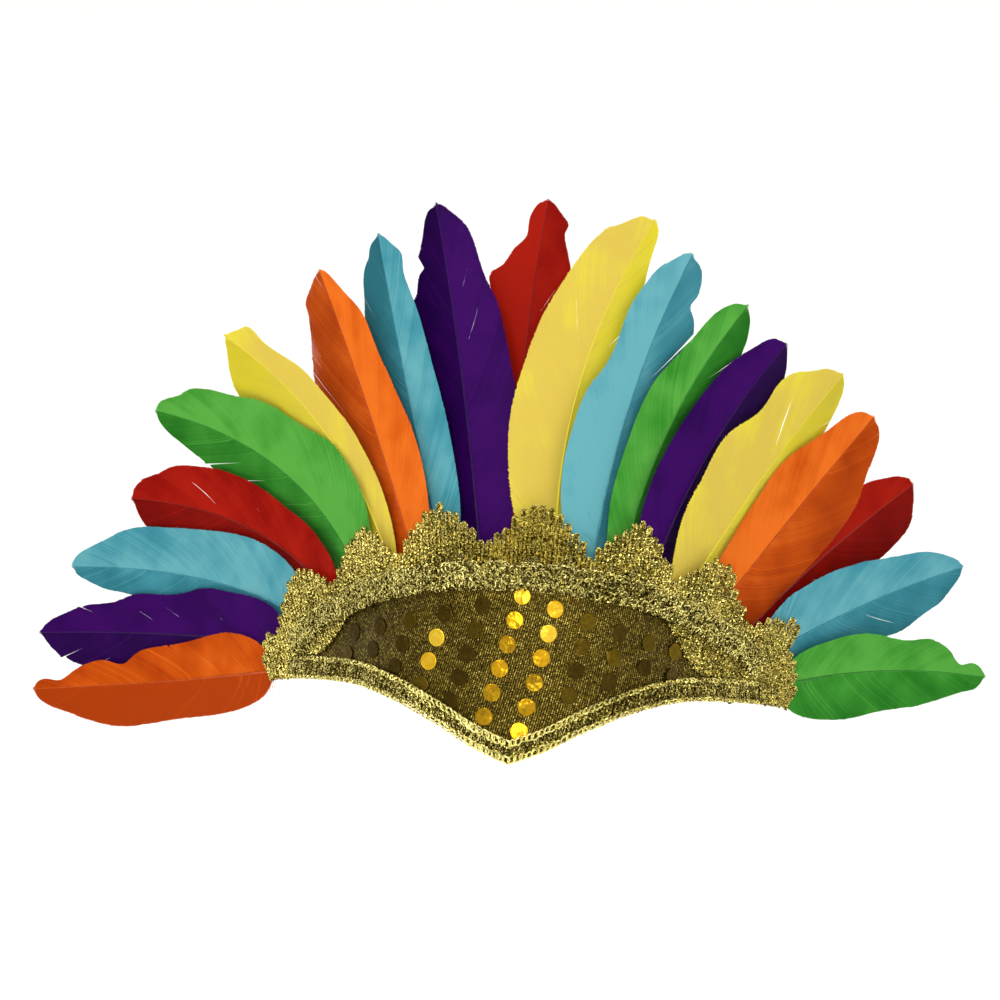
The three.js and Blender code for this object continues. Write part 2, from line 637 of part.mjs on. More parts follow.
function featherRing(feather, share, root) {
  const frame = shaftFrame(feather, share);
  const quill = THREE.MathUtils.lerp(QUILL_DIAMETER, QUILL_TIP_DIAMETER, Math.max(share, 0)) / 2;
  const inVane = share > root;
  const edge = inVane ? VANE_EDGE / 2 : quill * SHAFT_SIDE;
  const leftVane = inVane ? vaneShare(share, root, feather.leftAt, feather.blunt) : 0;
  const rightVane = inVane ? vaneShare(share, root, feather.rightAt, feather.blunt) : 0;
  const left = Math.max(quill, leftVane * feather.left * VANE_WIDTH);
  const right = Math.max(quill, rightVane * feather.right * VANE_WIDTH);
  const corner = (across, out) => frame.point.clone()
    .addScaledVector(frame.vane, across)
    .addScaledVector(frame.out, out);
  const crest = SHAFT_CREST.map((row) => corner(quill * row.across, quill * row.raised));
  const keel = SHAFT_CREST.map((row) => corner(quill * row.across, -quill * row.raised));
  return [
    corner(-left, edge),
    ...crest,
    corner(right, edge),
    corner(right, -edge),
    ...keel.reverse(),
    corner(-left, -edge),
  ];
}

function featherMesh(feather, index) {
  const length = feather.length * FEATHER_LENGTH;
  const root = bareLength(feather) / length;
  const shares = [-QUILL_PAST_SEAT / length, 0];
  for (let step = 0; step <= VANE_STEPS; step += 1) {
    const eased = (1 - Math.cos(Math.PI * step / VANE_STEPS)) / 2;
    shares.push(root + (1 - root) * eased);
  }
  const rings = shares.map((share) => featherRing(feather, share, root));
  const name = `feather_${String(index + 1).padStart(2, '0')}`;
  return named(name, loft(rings), material(DYES[feather.dye], 0.7, 0));
}

const headdress = new THREE.Group();
headdress.name = 'carnival_feather_headdress';
headdress.add(frontPanel());
headdress.add(lowerBraid());
headdress.add(upperBraid());
headdress.add(scallopedLace());
headdress.add(headElastic());
FEATHERS.forEach((feather, index) => headdress.add(featherMesh(feather, index)));

export default headdress;
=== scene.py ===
import math

import bpy
import numpy as np
from mathutils import Matrix, Vector


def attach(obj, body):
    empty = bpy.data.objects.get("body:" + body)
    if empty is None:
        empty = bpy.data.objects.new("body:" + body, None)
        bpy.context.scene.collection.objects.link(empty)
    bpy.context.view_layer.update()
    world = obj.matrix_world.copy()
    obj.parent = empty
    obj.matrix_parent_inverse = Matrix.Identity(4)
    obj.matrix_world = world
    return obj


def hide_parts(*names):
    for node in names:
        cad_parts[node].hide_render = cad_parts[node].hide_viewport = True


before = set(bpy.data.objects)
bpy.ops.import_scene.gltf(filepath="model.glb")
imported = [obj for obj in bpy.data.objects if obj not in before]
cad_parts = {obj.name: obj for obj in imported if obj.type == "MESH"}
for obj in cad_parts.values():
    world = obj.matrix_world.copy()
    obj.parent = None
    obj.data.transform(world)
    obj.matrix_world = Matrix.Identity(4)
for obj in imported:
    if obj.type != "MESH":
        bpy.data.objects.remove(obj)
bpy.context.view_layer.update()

# Panel
# A stiff board in a tiara shape, bent round the forehead. It is covered in a metallic warp knit
# that is pulled over its edges and glued, and its back is faced with plain felt.
MM = 0.001
GLUE_GAP = 0.3 * MM
HEAD_HALF_WIDTH = 73 * MM
HEAD_HALF_DEPTH = 93 * MM
HEAD_EASE = 0.5 * MM
PANEL_THICKNESS = 2.5 * MM
PANEL_BEND_RADIUS = 92 * MM
PANEL_BENT_HALF = 75 * MM
PANEL_LEAN = math.radians(8)
PANEL_HALF_LENGTH = 144 * MM
PANEL_TOP = 57 * MM
ARCH_RADIUS = 200 * MM
POINT_DROP = 24.5 * MM
ARCH_CENTRE_UP = PANEL_TOP - ARCH_RADIUS
PANEL_FRONT_Y = -(HEAD_HALF_DEPTH + HEAD_EASE + PANEL_THICKNESS)
PANEL_COLUMNS = 144
PANEL_ROWS = 16
PANEL_ROUND_STEPS = 4

# Bottom edge from the middle to the panel's end: share of the half length, share of the drop.
EDGE_ALONG = np.array([0.0, 0.1, 0.21, 0.35, 0.49, 0.62, 0.85, 1.0])
EDGE_DROP = np.array([1.0, 0.76, 0.44, 0.16, 0.04, 0.07, 0.27, 0.45])


def on_panel(along, up, out):
    """Points of the panel's bent face, with the directions along it, up it and out of it."""
    along, up, out = np.broadcast_arrays(along, up, out)
    turn = np.clip(along, -PANEL_BENT_HALF, PANEL_BENT_HALF) / PANEL_BEND_RADIUS
    straight = along - turn * PANEL_BEND_RADIUS
    flat = np.zeros_like(turn)
    facing = np.stack([np.sin(turn), -np.cos(turn), flat], -1)
    side = np.stack([np.cos(turn), np.sin(turn), flat], -1)
    upright = np.array([0.0, 0.0, 1.0])
    rise = upright * math.cos(PANEL_LEAN) - facing * math.sin(PANEL_LEAN)
    front = facing * math.cos(PANEL_LEAN) + upright * math.sin(PANEL_LEAN)
    middle = np.array([0.0, PANEL_FRONT_Y + PANEL_BEND_RADIUS, 0.0])
    point = middle + facing * PANEL_BEND_RADIUS + side * straight[..., None]
    point = point + rise * up[..., None] + front * out[..., None]
    return point, side, rise, front


def on_arch(angle, radius, out):
    """The same face by an angle and a radius round the centre of the panel's top arch."""
    return on_panel(radius * np.sin(angle), ARCH_CENTRE_UP + radius * np.cos(angle), out)


def bottom_edge(along):
    """Height of the panel's bottom edge, smooth through the rows of EDGE_ALONG and EDGE_DROP."""
    share = np.minimum(np.abs(along) / PANEL_HALF_LENGTH, 1)
    last = len(EDGE_ALONG) - 1
    row = np.clip(np.searchsorted(EDGE_ALONG, share, side="right") - 1, 0, last - 1)
    before = np.maximum(np.arange(last + 1) - 1, 0)
    after = np.minimum(np.arange(last + 1) + 1, last)
    slope = (EDGE_DROP[after] - EDGE_DROP[before]) / (EDGE_ALONG[after] - EDGE_ALONG[before])
    step = EDGE_ALONG[row + 1] - EDGE_ALONG[row]
    part = (share - EDGE_ALONG[row]) / step
    drop = EDGE_DROP[row] * (1 + 2 * part) * (1 - part) ** 2
    drop = drop + EDGE_DROP[row + 1] * part**2 * (3 - 2 * part)
    drop = drop + step * slope[row] * part * (1 - part) ** 2
    drop = drop - step * slope[row + 1] * part**2 * (1 - part)
    return -POINT_DROP * drop


def top_edge(along):
    """Height of the panel's arched top edge."""
    return ARCH_CENTRE_UP + np.sqrt(ARCH_RADIUS**2 - along**2)


def linear(hex_colour):
    """An sRGB hex colour as linear red, green, blue and alpha."""
    values = [int(hex_colour[place : place + 2], 16) / 255 for place in (1, 3, 5)]
    turned = [v / 12.92 if v <= 0.04045 else ((v + 0.055) / 1.055) ** 2.4 for v in values]
    return (*turned, 1.0)


def add_node(tree, kind, settings=(), inputs=()):
    """Adds a node with its settings, and sets or links its inputs."""
    node = tree.nodes.new(kind)
    for key, value in dict(settings).items():
        setattr(node, key, value)
    for key, value in dict(inputs).items():
        if isinstance(value, bpy.types.NodeSocket):
            tree.links.new(value, node.inputs[key])
        else:
            node.inputs[key].default_value = value
    return node


def new_material(name, **surface_values):
    """A material and its surface shader with plain values on its own sockets."""
    made = bpy.data.materials.new(name)
    made.use_nodes = True
    surface = made.node_tree.nodes["Principled BSDF"]
    for key, value in surface_values.items():
        surface.inputs[key.replace("_", " ").title().replace("Ior", "IOR")].default_value = value
    return made, made.node_tree, surface


def blend(tree, value, factor, added=0.0):
    """A value times a factor, plus a number or another value."""
    return add_node(tree, "ShaderNodeMath", {"operation": "MULTIPLY_ADD"},
                    {0: value, 1: factor, 2: added}).outputs[0]


def noise(tree, place, period, detail):
    return add_node(tree, "ShaderNodeTexNoise", {},
                    {"Vector": place, "Scale": 1 / period, "Detail": detail}).outputs["Fac"]


def colour_by(tree, surface, shade, stops):
    """Colours a surface by a shade: each stop is a place from 0 to 1 and a hex colour."""
    ramp = add_node(tree, "ShaderNodeValToRGB", {}, {"Fac": shade})
    elements = ramp.color_ramp.elements
    while len(elements) < len(stops):
        elements.new(0.5)
    for element, (place, colour) in zip(elements, stops):
        element.position = place
        element.color = linear(colour)
    tree.links.new(ramp.outputs["Color"], surface.inputs["Base Color"])


def raise_by(tree, surface, height, strength, distance):
    """Gives a surface a fine relief from a height."""
    bump = add_node(tree, "ShaderNodeBump", {},
                    {"Height": height, "Strength": strength, "Distance": distance})
    tree.links.new(bump.outputs["Normal"], surface.inputs["Normal"])


def mesh_piece(name, points, faces, *materials):
    """A mesh object from points of any shape and rows of point numbers."""
    mesh = bpy.data.meshes.new(name)
    mesh.from_pydata(np.reshape(points, (-1, 3)).tolist(), [], np.asarray(faces).tolist())
    for material in materials:
        mesh.materials.append(material)
    piece = bpy.data.objects.new(name, mesh)
    bpy.context.scene.collection.objects.link(piece)
    return piece


def point_values(piece, name, values):
    """Keeps a number or a vector at each point of a piece for its material."""
    values = np.asarray(values, np.float32)
    vector = values.ndim > 1 and values.shape[-1] == 3
    kind, key = ("FLOAT_VECTOR", "vector") if vector else ("FLOAT", "value")
    attribute = piece.data.attributes.new(name, kind, "POINT")
    attribute.data.foreach_set(key, values.ravel())


def grid_faces(rows, columns, closed):
    """Quads between rows of points; closed joins each row's end to its start."""
    across = columns if closed else columns - 1
    row, column = np.meshgrid(np.arange(rows - 1), np.arange(across), indexing="ij")
    beside = (column + 1) % columns
    corners = [row * columns + column, row * columns + beside]
    corners += [(row + 1) * columns + beside, (row + 1) * columns + column]
    return np.stack(corners, -1).reshape(-1, 4)


# Lurex warp knit: flat metallised yarn in fine wales that lean to the right. It reads as dark
# olive with pale glints. The real wales are 0.65 mm apart, drawn at 1 mm so that they show.
# These sizes are in mm, and a wave texture of scale 1 repeats every WAVE_PERIOD.
KNIT_WALE_PITCH = 1.0
KNIT_COURSE_PITCH = 0.9
KNIT_TILT = math.radians(15)
KNIT_GLINT = 0.55
KNIT_CLOUD = 16.67
WAVE_PERIOD = math.pi / 10


def lurex_knit():
    made, tree, surface = new_material("lurex_warp_knit", metallic=0.9, roughness=0.4)
    place = add_node(tree, "ShaderNodeAttribute", {"attribute_name": "knit_place"})
    leaning = add_node(tree, "ShaderNodeMapping", {},
                       {"Vector": place.outputs["Vector"], "Rotation": (0, 0, KNIT_TILT)})
    wales = add_node(tree, "ShaderNodeTexWave", {"bands_direction": "X"},
                     {"Vector": leaning.outputs[0], "Scale": WAVE_PERIOD / KNIT_WALE_PITCH,
                      "Distortion": 1.2, "Detail": 2.0, "Detail Scale": 1.5})
    courses = add_node(tree, "ShaderNodeTexWave", {"bands_direction": "Y"},
                       {"Vector": leaning.outputs[0], "Scale": WAVE_PERIOD / KNIT_COURSE_PITCH,
                        "Distortion": 0.8, "Detail": 1.0})
    glints = add_node(tree, "ShaderNodeTexVoronoi", {},
                      {"Vector": place.outputs["Vector"], "Scale": 1 / KNIT_GLINT})
    clouds = noise(tree, place.outputs["Vector"], KNIT_CLOUD, 2.0)
    stitches = blend(tree, courses.outputs["Fac"], 0.35, 0.65)
    relief = blend(tree, wales.outputs["Fac"], stitches)
    spark = blend(tree, glints.outputs["Color"], 0.55, blend(tree, relief, 0.4))
    colour_by(tree, surface, blend(tree, clouds, 0.15, spark),
              [(0.24, "#140f02"), (0.52, "#403408"), (0.76, "#7c6816"), (0.96, "#f2e084")])
    raise_by(tree, surface, spark, 0.9, 0.25 * MM)
    return made


# Needle felt: matt, with a fine mottle of short fibres.
FELT_FIBRE = 0.6667 * MM


def backing_felt():
    made, tree, surface = new_material("needle_felt", roughness=0.95, sheen_weight=0.2)
    place = add_node(tree, "ShaderNodeTexCoord")
    fibres = noise(tree, place.outputs["Object"], FELT_FIBRE, 4.0)
    colour_by(tree, surface, fibres, [(0.3, "#3a3020"), (0.7, "#5d4f34")])
    raise_by(tree, surface, fibres, 0.4, 0.3 * MM)
    return made


def end_cap(corners, first):
    """Quads that close one end of the board, from its bottom edge up to its top edge."""
    bottom = corners - PANEL_ROUND_STEPS // 2
    step = np.arange(corners // 2 - 1)
    front = (bottom + step) % corners
    back = (bottom - 1 - step) % corners
    return first + np.stack([front, (front + 1) % corners, (back - 1) % corners, back], -1)


def panel_cover():
    """The covered board: sections from end to end, each round at its two edges."""
    half = PANEL_THICKNESS / 2
    along = np.linspace(-PANEL_HALF_LENGTH + half, PANEL_HALF_LENGTH - half, PANEL_COLUMNS + 1)
    bottom = bottom_edge(along) + half
    top = top_edge(along) - half
    rows = np.linspace(0, 1, PANEL_ROWS)
    rounding = np.linspace(-math.pi / 2, math.pi / 2, PANEL_ROUND_STEPS + 2)[1:-1]
    share = np.concatenate([rows, np.ones_like(rounding), rows[::-1], np.zeros_like(rounding)])
    none = np.zeros_like(rows)
    past = np.concatenate([none, np.cos(rounding), none, -np.cos(rounding)])
    depth = np.concatenate([none + 1, -np.sin(rounding), none - 1, np.sin(rounding)])
    up = bottom[:, None] + (top - bottom)[:, None] * share + half * past
    out = np.broadcast_to(-half + half * depth, up.shape)
    spread = np.broadcast_to(along[:, None], up.shape)
    points = on_panel(spread, up, out)[0]
    corners = up.shape[1]
    walls = grid_faces(len(along), corners, True)
    left_end = end_cap(corners, 0)
    right_end = end_cap(corners, (len(along) - 1) * corners)
    faces = np.concatenate([walls, left_end, right_end[:, ::-1]])
    panel = mesh_piece("knit_covered_panel", points, faces, lurex_knit(), backing_felt())
    back_start = PANEL_ROWS + PANEL_ROUND_STEPS
    corner = walls[:, 0] % corners
    is_back = np.zeros(len(faces), np.int32)
    is_back[: len(walls)] = (corner >= back_start) & (corner < back_start + PANEL_ROWS - 1)
    panel.data.polygons.foreach_set("material_index", is_back)
    panel.data.shade_smooth()
    place = np.stack([spread, up, np.zeros_like(up)], -1) / MM
    point_values(panel, "knit_place", place.reshape(-1, 3))
    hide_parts("front_panel")
    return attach(panel, "root")


panel_cover()

# Sequins
# Round PET spangles with a metallised face, glued on the knit in slanted columns. Most lie flat
# and are coloured dark, and the creased ones in the two middle columns and three more are coloured
# bright yellow gold: painted highlight where a sequin catches the light and flashes.
SEQUIN_DIAMETER = 7.5 * MM
SEQUIN_RAISE = 0.4 * MM
SEQUIN_THICKNESS = 0.25 * MM
SEQUIN_COLUMN_PITCH = 16.5 * MM
SEQUIN_ROW_PITCH = 10.4 * MM
SEQUIN_SLANT = math.tan(math.radians(15))
SEQUIN_START_UP = 36.4 * MM
SEQUIN_TUCK = 2.5 * MM
SEQUIN_SIDES = 28
SEQUIN_CREASES = 9
SEQUIN_CREASE_HEIGHT = 0.3 * MM
SEQUIN_CRUMPLE = 1.7 * MM
SEQUIN_TILT = 0.05
SEQUIN_CREASED_SHARE = 0.2
SEQUIN_CLOUD = 2.381 * MM
SEQUIN_REACH = (118 * MM, 96 * MM)  # left and right of the middle
BRIGHT_COLUMNS = (0, 1)
FLASHING_SEQUINS = ((-2, -1), (-2, -2), (2, -4))  # column and row
# Painted highlight: how bright the sequins are coloured, highest on those that flash.
BRIGHT_GLINT = (0.42, 0.8)
FLASH_GLINT = 0.25
DULL_GLINTS = [0.02, 0.1, 0.2, 0.34]
DULL_GLINT_CHANCES = [0.4, 0.3, 0.2, 0.1]
LOWER_BRAID_WIDTH = 10 * MM
UPPER_BRAID_WIDTH = 12 * MM
UPPER_BRAID_ABOVE_EDGE = 4 * MM


def sequin_places():
    """Distance along and height of each sequin, and whether it is bright or flashing."""
    places = []
    radius = SEQUIN_DIAMETER / 2
    columns = math.ceil(PANEL_HALF_LENGTH / SEQUIN_COLUMN_PITCH) + 1
    rows = math.ceil((PANEL_TOP + POINT_DROP) / SEQUIN_ROW_PITCH)
    open_radius = ARCH_RADIUS + UPPER_BRAID_ABOVE_EDGE - UPPER_BRAID_WIDTH
    for column in range(-columns, columns + 1):
        for row in range(-rows, rows + 1):
            row_up = (row + 0.5 * (column % 2)) * SEQUIN_ROW_PITCH
            up = SEQUIN_START_UP + row_up
            along = column * SEQUIN_COLUMN_PITCH + row_up * SEQUIN_SLANT
            below_arch = open_radius - math.hypot(along, up - ARCH_CENTRE_UP)
            above_braid = up - float(bottom_edge(along)) - LOWER_BRAID_WIDTH
            clear = min(below_arch, above_braid) > radius - SEQUIN_TUCK
            if clear and abs(along) < SEQUIN_REACH[along > 0]:
                flashing = (column, row) in FLASHING_SEQUINS
                places.append((along, up, column in BRIGHT_COLUMNS or flashing, flashing))
    return places


# Metallised PET film over a gold lacquer: a mirror gloss that is creased and a little cloudy.
def spangle_film():
    made, tree, surface = new_material("gold_spangle_film", metallic=0.9, roughness=0.3)
    # Each sequin's value lifts its colour from dark to bright yellow gold: painted highlight.
    painted_glint = add_node(tree, "ShaderNodeAttribute", {"attribute_name": "painted_glint"})
    place = add_node(tree, "ShaderNodeTexCoord")
    cloud = noise(tree, place.outputs["Object"], SEQUIN_CLOUD, 2.0)
    colour_by(tree, surface, blend(tree, cloud, 0.2, painted_glint.outputs["Fac"]),
              [(0.1, "#3a2c03"), (0.45, "#6a5708"), (0.75, "#d9a414"), (1.0, "#f7e04e")])
    crumple = add_node(tree, "ShaderNodeTexVoronoi", {},
                       {"Vector": place.outputs["Object"], "Scale": 1 / SEQUIN_CRUMPLE})
    raise_by(tree, surface, crumple.outputs["Distance"], 0.16, 0.8 * MM)
    return made


# Rings of a sequin from its middle out and down its edge: share of the radius, and height.
SEQUIN_RINGS = [(0.0, SEQUIN_THICKNESS), (0.45, SEQUIN_THICKNESS), (0.93, SEQUIN_THICKNESS),
                (1.0, SEQUIN_THICKNESS / 2), (1.0, -SEQUIN_THICKNESS)]


def sequins():
    """All the sequins as creased discs, each a little tilted, in one piece."""
    rng = np.random.default_rng(11)
    turn = 2 * math.pi * np.arange(SEQUIN_SIDES) / SEQUIN_SIDES
    points, faces, glints = [], [], []
    for along, up, bright, flashing in sequin_places():
        start = len(points) * len(SEQUIN_RINGS) * SEQUIN_SIDES
        lean = rng.normal(0, SEQUIN_TILT, 2)
        creased = bright or rng.random() < SEQUIN_CREASED_SHARE
        height = SEQUIN_CREASE_HEIGHT if creased else SEQUIN_CREASE_HEIGHT / 6
        creases = rng.uniform(-1, 1, (2, SEQUIN_CREASES))
        disc = []
        for share, lift in SEQUIN_RINGS:
            radius = share * SEQUIN_DIAMETER / 2
            across = radius * np.cos(turn)
            over = radius * np.sin(turn)
            wave = np.interp(turn, np.linspace(0, 2 * math.pi, SEQUIN_CREASES + 1),
                             np.append(creases[0], creases[0][0]))
            flex = height * wave * share * (1 if lift > 0 else 0)
            out = SEQUIN_RAISE + lift + flex + lean[0] * across + lean[1] * over
            disc.append(on_panel(along + across, up + over, out)[0])
        points.append(np.array(disc))
        faces.append(grid_faces(len(SEQUIN_RINGS), SEQUIN_SIDES, True) + start)
        dull = rng.choice(DULL_GLINTS, p=DULL_GLINT_CHANCES)
        shine = rng.uniform(*BRIGHT_GLINT) + FLASH_GLINT * flashing if bright else dull
        glints.append(np.full(len(SEQUIN_RINGS) * SEQUIN_SIDES, shine))
    discs = mesh_piece("sequins", np.array(points), np.concatenate(faces), spangle_film())
    point_values(discs, "painted_glint", np.concatenate(glints))
    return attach(discs, "root")


sequins()

# Scalloped lace
# A crochet edging of twisted metallic cord: upright loops side by side, longest in the middle of
# each scallop, and a finer zigzag thread behind and between them. Its foot is glued along the
# panel's arched edge, and at both ends it runs down to the lower braid.
LACE_THICKNESS = 1 * MM
LACE_HALF_SPREAD = math.radians(48)
LACE_LAP = 5 * MM
LACE_VALLEY = 10 * MM
LACE_PEAK = 29 * MM
LACE_END_HEIGHT = 16 * MM
LACE_END_ROUND = math.radians(4)
LACE_SCALLOP_PITCH = math.radians(13.3)
LACE_SCALLOP_START = math.radians(2.6)
LACE_SCALLOP_POINT = 1.3
LACE_LOOP_PITCH = 3.8 * MM
LACE_LOOP_HALF = 0.95 * MM
LACE_CORD_TWIST = 2.3 * MM
LACE_STRAND_RADIUS = 0.46 * MM
THREAD_SIDES = 4
LACE_TURN_STEPS = 5
LACE_JITTER = 0.12 * MM
LACE_UNEVEN = 1.5 * MM
# The filling lies behind the loops and gets less shine: painted shade.
LACE_LOOP_SHINE = 0.26
LACE_FILL_SHINE = 0.12
LACE_DEEPEST = 45 * MM
LACE_FOOT_STEP = 0.5 * MM
LACE_DEEP_FROM = (math.radians(26), math.radians(20))  # left and right
LACE_DEEP_RUN = math.radians(14)
BRAID_EDGE_WAVE = 0.07
BRAID_REACH_STEP = 0.5 * MM
LACE_FILL_PITCH = 1.3 * MM
LACE_FILL_RADIUS = 0.3 * MM
LACE_SLIT_NICK = 1 * MM
LACE_SLIT_DEPTH = 10 * MM


def lace_top(angle):
    """Height of the lace above the panel's edge: pointed scallops and rounded ends."""
    phase = (angle - LACE_SCALLOP_START) / LACE_SCALLOP_PITCH
    off = abs(phase - round(phase)) * 2
    scallop = LACE_VALLEY + (LACE_PEAK - LACE_VALLEY) * (1 - off**LACE_SCALLOP_POINT)
    to_end = (LACE_HALF_SPREAD - abs(angle)) / LACE_END_ROUND
    if to_end >= 1:
        return scallop
    return min(scallop, LACE_END_HEIGHT * math.sqrt(1 - (1 - to_end) ** 2))


def unit(vectors, least=0.0):
    """Vectors made one long; least keeps those of no length from a division by nothing."""
    return vectors / (np.linalg.norm(vectors, axis=-1, keepdims=True) + least)


def threads(points, reference, radius, sides=THREAD_SIDES):
    """Round threads as points and quads: points and reference are threads by steps by 3."""
    ahead = unit(np.gradient(points, axis=1))
    across = unit(np.cross(ahead, np.broadcast_to(reference, points.shape)))
    lift = np.cross(across, ahead)
    turn = 2 * math.pi * np.arange(sides) / sides
    ring = across[:, :, None] * np.cos(turn)[:, None] + lift[:, :, None] * np.sin(turn)[:, None]
    skin = points[:, :, None] + ring * radius
    one = grid_faces(points.shape[1], sides, True)
    starts = np.arange(len(points)) * points.shape[1] * sides
    return skin.reshape(-1, 3), (one[None] + starts[:, None, None]).reshape(-1, 4)


def join_parts(parts):
    """Several sets of points and quads as one."""
    points, faces, start = [], [], 0
    for some, quads in parts:
        points.append(some)
        faces.append(quads + start)
        start += len(some)
    return np.concatenate(points), np.concatenate(faces)


# Lurex cord: gold foil yarn, with facets that flash pale or fall to dark olive every half
# millimetre. The facets of the real foil are finer, and are drawn at the size that shows.
FOIL_FACET = 0.45 * MM
FOIL_PATCH = 11.11 * MM


def lurex_cord(name, dark, middle, light):
    made, tree, surface = new_material(name, metallic=0.95, roughness=0.34)
    place = add_node(tree, "ShaderNodeTexCoord")
    facets = add_node(tree, "ShaderNodeTexVoronoi", {},
                      {"Vector": place.outputs["Object"], "Scale": 1 / FOIL_FACET})
    patches = noise(tree, place.outputs["Object"], FOIL_PATCH, 2.0)
    # Each thread's shine moves its colour up or down: its part's own shine, with painted highlight
    # where a thread stands proud and painted shade where it lies deep.
    lift = add_node(tree, "ShaderNodeAttribute", {"attribute_name": "painted_thread_shine"})
    proud = blend(tree, patches, 0.3, lift.outputs["Fac"])
    colour_by(tree, surface, blend(tree, facets.outputs["Color"], 0.8, proud),
              [(0.48, dark), (0.75, middle), (0.93, light)])
    raise_by(tree, surface, facets.outputs["Color"], 0.8, 0.2 * MM)
    return made


def lower_braid_reach(radius):
    """How far along the lower braid runs before it meets a circle of the arch."""
    upper_edge = LOWER_BRAID_WIDTH / 2 * (2 + BRAID_EDGE_WAVE)
    along = np.arange(0, PANEL_HALF_LENGTH, BRAID_REACH_STEP)
    gap = radius - np.hypot(along, bottom_edge(along) + upper_edge - ARCH_CENTRE_UP)
    return along[np.argmax(gap <= GLUE_GAP)]


def lace_foot(angle):
    """Radius of the lace's foot: under the upper braid, and at the ends down to the lower braid."""
    radii = np.arange(ARCH_RADIUS - LACE_LAP, ARCH_RADIUS - LACE_DEEPEST, -LACE_FOOT_STEP)
    up = ARCH_CENTRE_UP + radii * math.cos(angle)
    along = radii * math.sin(abs(angle))
    braid = np.where(along < lower_braid_reach(radii[0]), LOWER_BRAID_WIDTH, 0)
    over_braid = up - bottom_edge(along) - braid
    deepest = radii[max(np.count_nonzero(over_braid > 0) - 1, 0)]
    part = min(max((abs(angle) - LACE_DEEP_FROM[angle > 0]) / LACE_DEEP_RUN, 0), 1)
    return radii[0] + (deepest - radii[0]) * part * part * (3 - 2 * part)


def lace_loop(angle, top, rng):
    """One upright loop of two-strand cord, on the panel's face at an angle of its arch."""
    turn_round = np.linspace(0, math.pi, 7)[1:-1]
    foot = lace_foot(angle)
    rise = max(ARCH_RADIUS + top - foot - LACE_LOOP_HALF, LACE_CORD_TWIST)
    straight = np.arange(0, rise, LACE_CORD_TWIST / LACE_TURN_STEPS)
    leg = np.ones_like(straight)
    across = np.concatenate([-leg, -np.cos(turn_round), leg])
    up = np.concatenate([straight, rise + LACE_LOOP_HALF * np.sin(turn_round), straight[::-1]])
    across = LACE_LOOP_HALF * across
    length = np.concatenate([[0], np.cumsum(np.hypot(np.diff(across), np.diff(up)))])
    spin = 2 * math.pi * length / LACE_CORD_TWIST + rng.uniform(0, 2 * math.pi)
    swing = np.stack([spin, spin + math.pi])
    travel = np.gradient(np.stack([across, up]), axis=1)
    travel /= np.linalg.norm(travel, axis=0)
    offset = LACE_STRAND_RADIUS * np.cos(swing) + rng.normal(0, LACE_JITTER, swing.shape)
    depth = LACE_STRAND_RADIUS * np.sin(swing) + rng.normal(0, LACE_JITTER, swing.shape)
    radius = foot + up + offset * travel[0]
    sideways = across - offset * travel[1]
    out = GLUE_GAP + LACE_THICKNESS / 2 + depth
    place, _, _, front = on_arch(angle + sideways / ARCH_RADIUS, radius, out)
    return threads(place, front, LACE_STRAND_RADIUS)


def lace_filling(angle, top, half_width, rng):
    """A fine zigzag thread that fills the lace between two upright cords."""
    foot = lace_foot(angle)
    rise = max(ARCH_RADIUS + top - foot, 2 * LACE_FILL_PITCH)
    up = np.arange(0, rise, LACE_FILL_PITCH / 4)
    swing = np.sin(2 * math.pi * up / LACE_FILL_PITCH + rng.uniform(0, 6)) * half_width
    across = (swing + rng.normal(0, LACE_JITTER, up.shape)) / ARCH_RADIUS
    out = GLUE_GAP + LACE_FILL_RADIUS + rng.uniform(0, 1, up.shape) * LACE_JITTER
    place, _, _, front = on_arch(angle + across, foot + up, out)
    return threads(place[None], front[None], LACE_FILL_RADIUS)


def lace_piece(name, parts, shine, cord):
    """A piece of the lace from threads that all have the same shine."""
    points, faces = join_parts(parts)
    piece = mesh_piece(name, points, faces, cord)
    point_values(piece, "painted_thread_shine", np.full(len(points), shine))
    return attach(piece, "root")


def scalloped_lace():
    rng = np.random.default_rng(23)
    loops = round(2 * LACE_HALF_SPREAD * ARCH_RADIUS / LACE_LOOP_PITCH)
    pitch = 2 * LACE_HALF_SPREAD / loops
    corded, filled = [], []
    for loop in range(loops):
        angle = (loop + 0.5) * pitch - LACE_HALF_SPREAD
        top = lace_top(angle) + rng.uniform(-1, 1) * LACE_UNEVEN
        corded.append(lace_loop(angle, top, rng))
        filled.append(lace_filling(angle, top - LACE_LOOP_HALF, LACE_LOOP_HALF, rng))
        lower = min(top, lace_top(min(angle + pitch, LACE_HALF_SPREAD)))
        open_share = max(0, (lower - LACE_VALLEY) / (LACE_PEAK - LACE_VALLEY))
        slit_foot = lower - LACE_SLIT_NICK - LACE_SLIT_DEPTH * open_share
        filled.append(lace_filling(angle + pitch / 2, slit_foot, LACE_LOOP_HALF, rng))
    cord = lurex_cord("lurex_lace_cord", "#241c02", "#6e5e0e", "#fff08c")
    loop_piece = lace_piece("scalloped_lace_loops", corded, LACE_LOOP_SHINE, cord)
    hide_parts("scalloped_lace")
    lace_piece("scalloped_lace_filling", filled, LACE_FILL_SHINE, cord)


scalloped_lace()

# Lower braid
# A narrow gimp braid of crinkled gold tinsel, glued along the panel's bottom edge. Each of its
# edges is a row of small loops, larger and brighter round the point, with a crinkled middle.
LOWER_BRAID_THICKNESS = 2.4 * MM
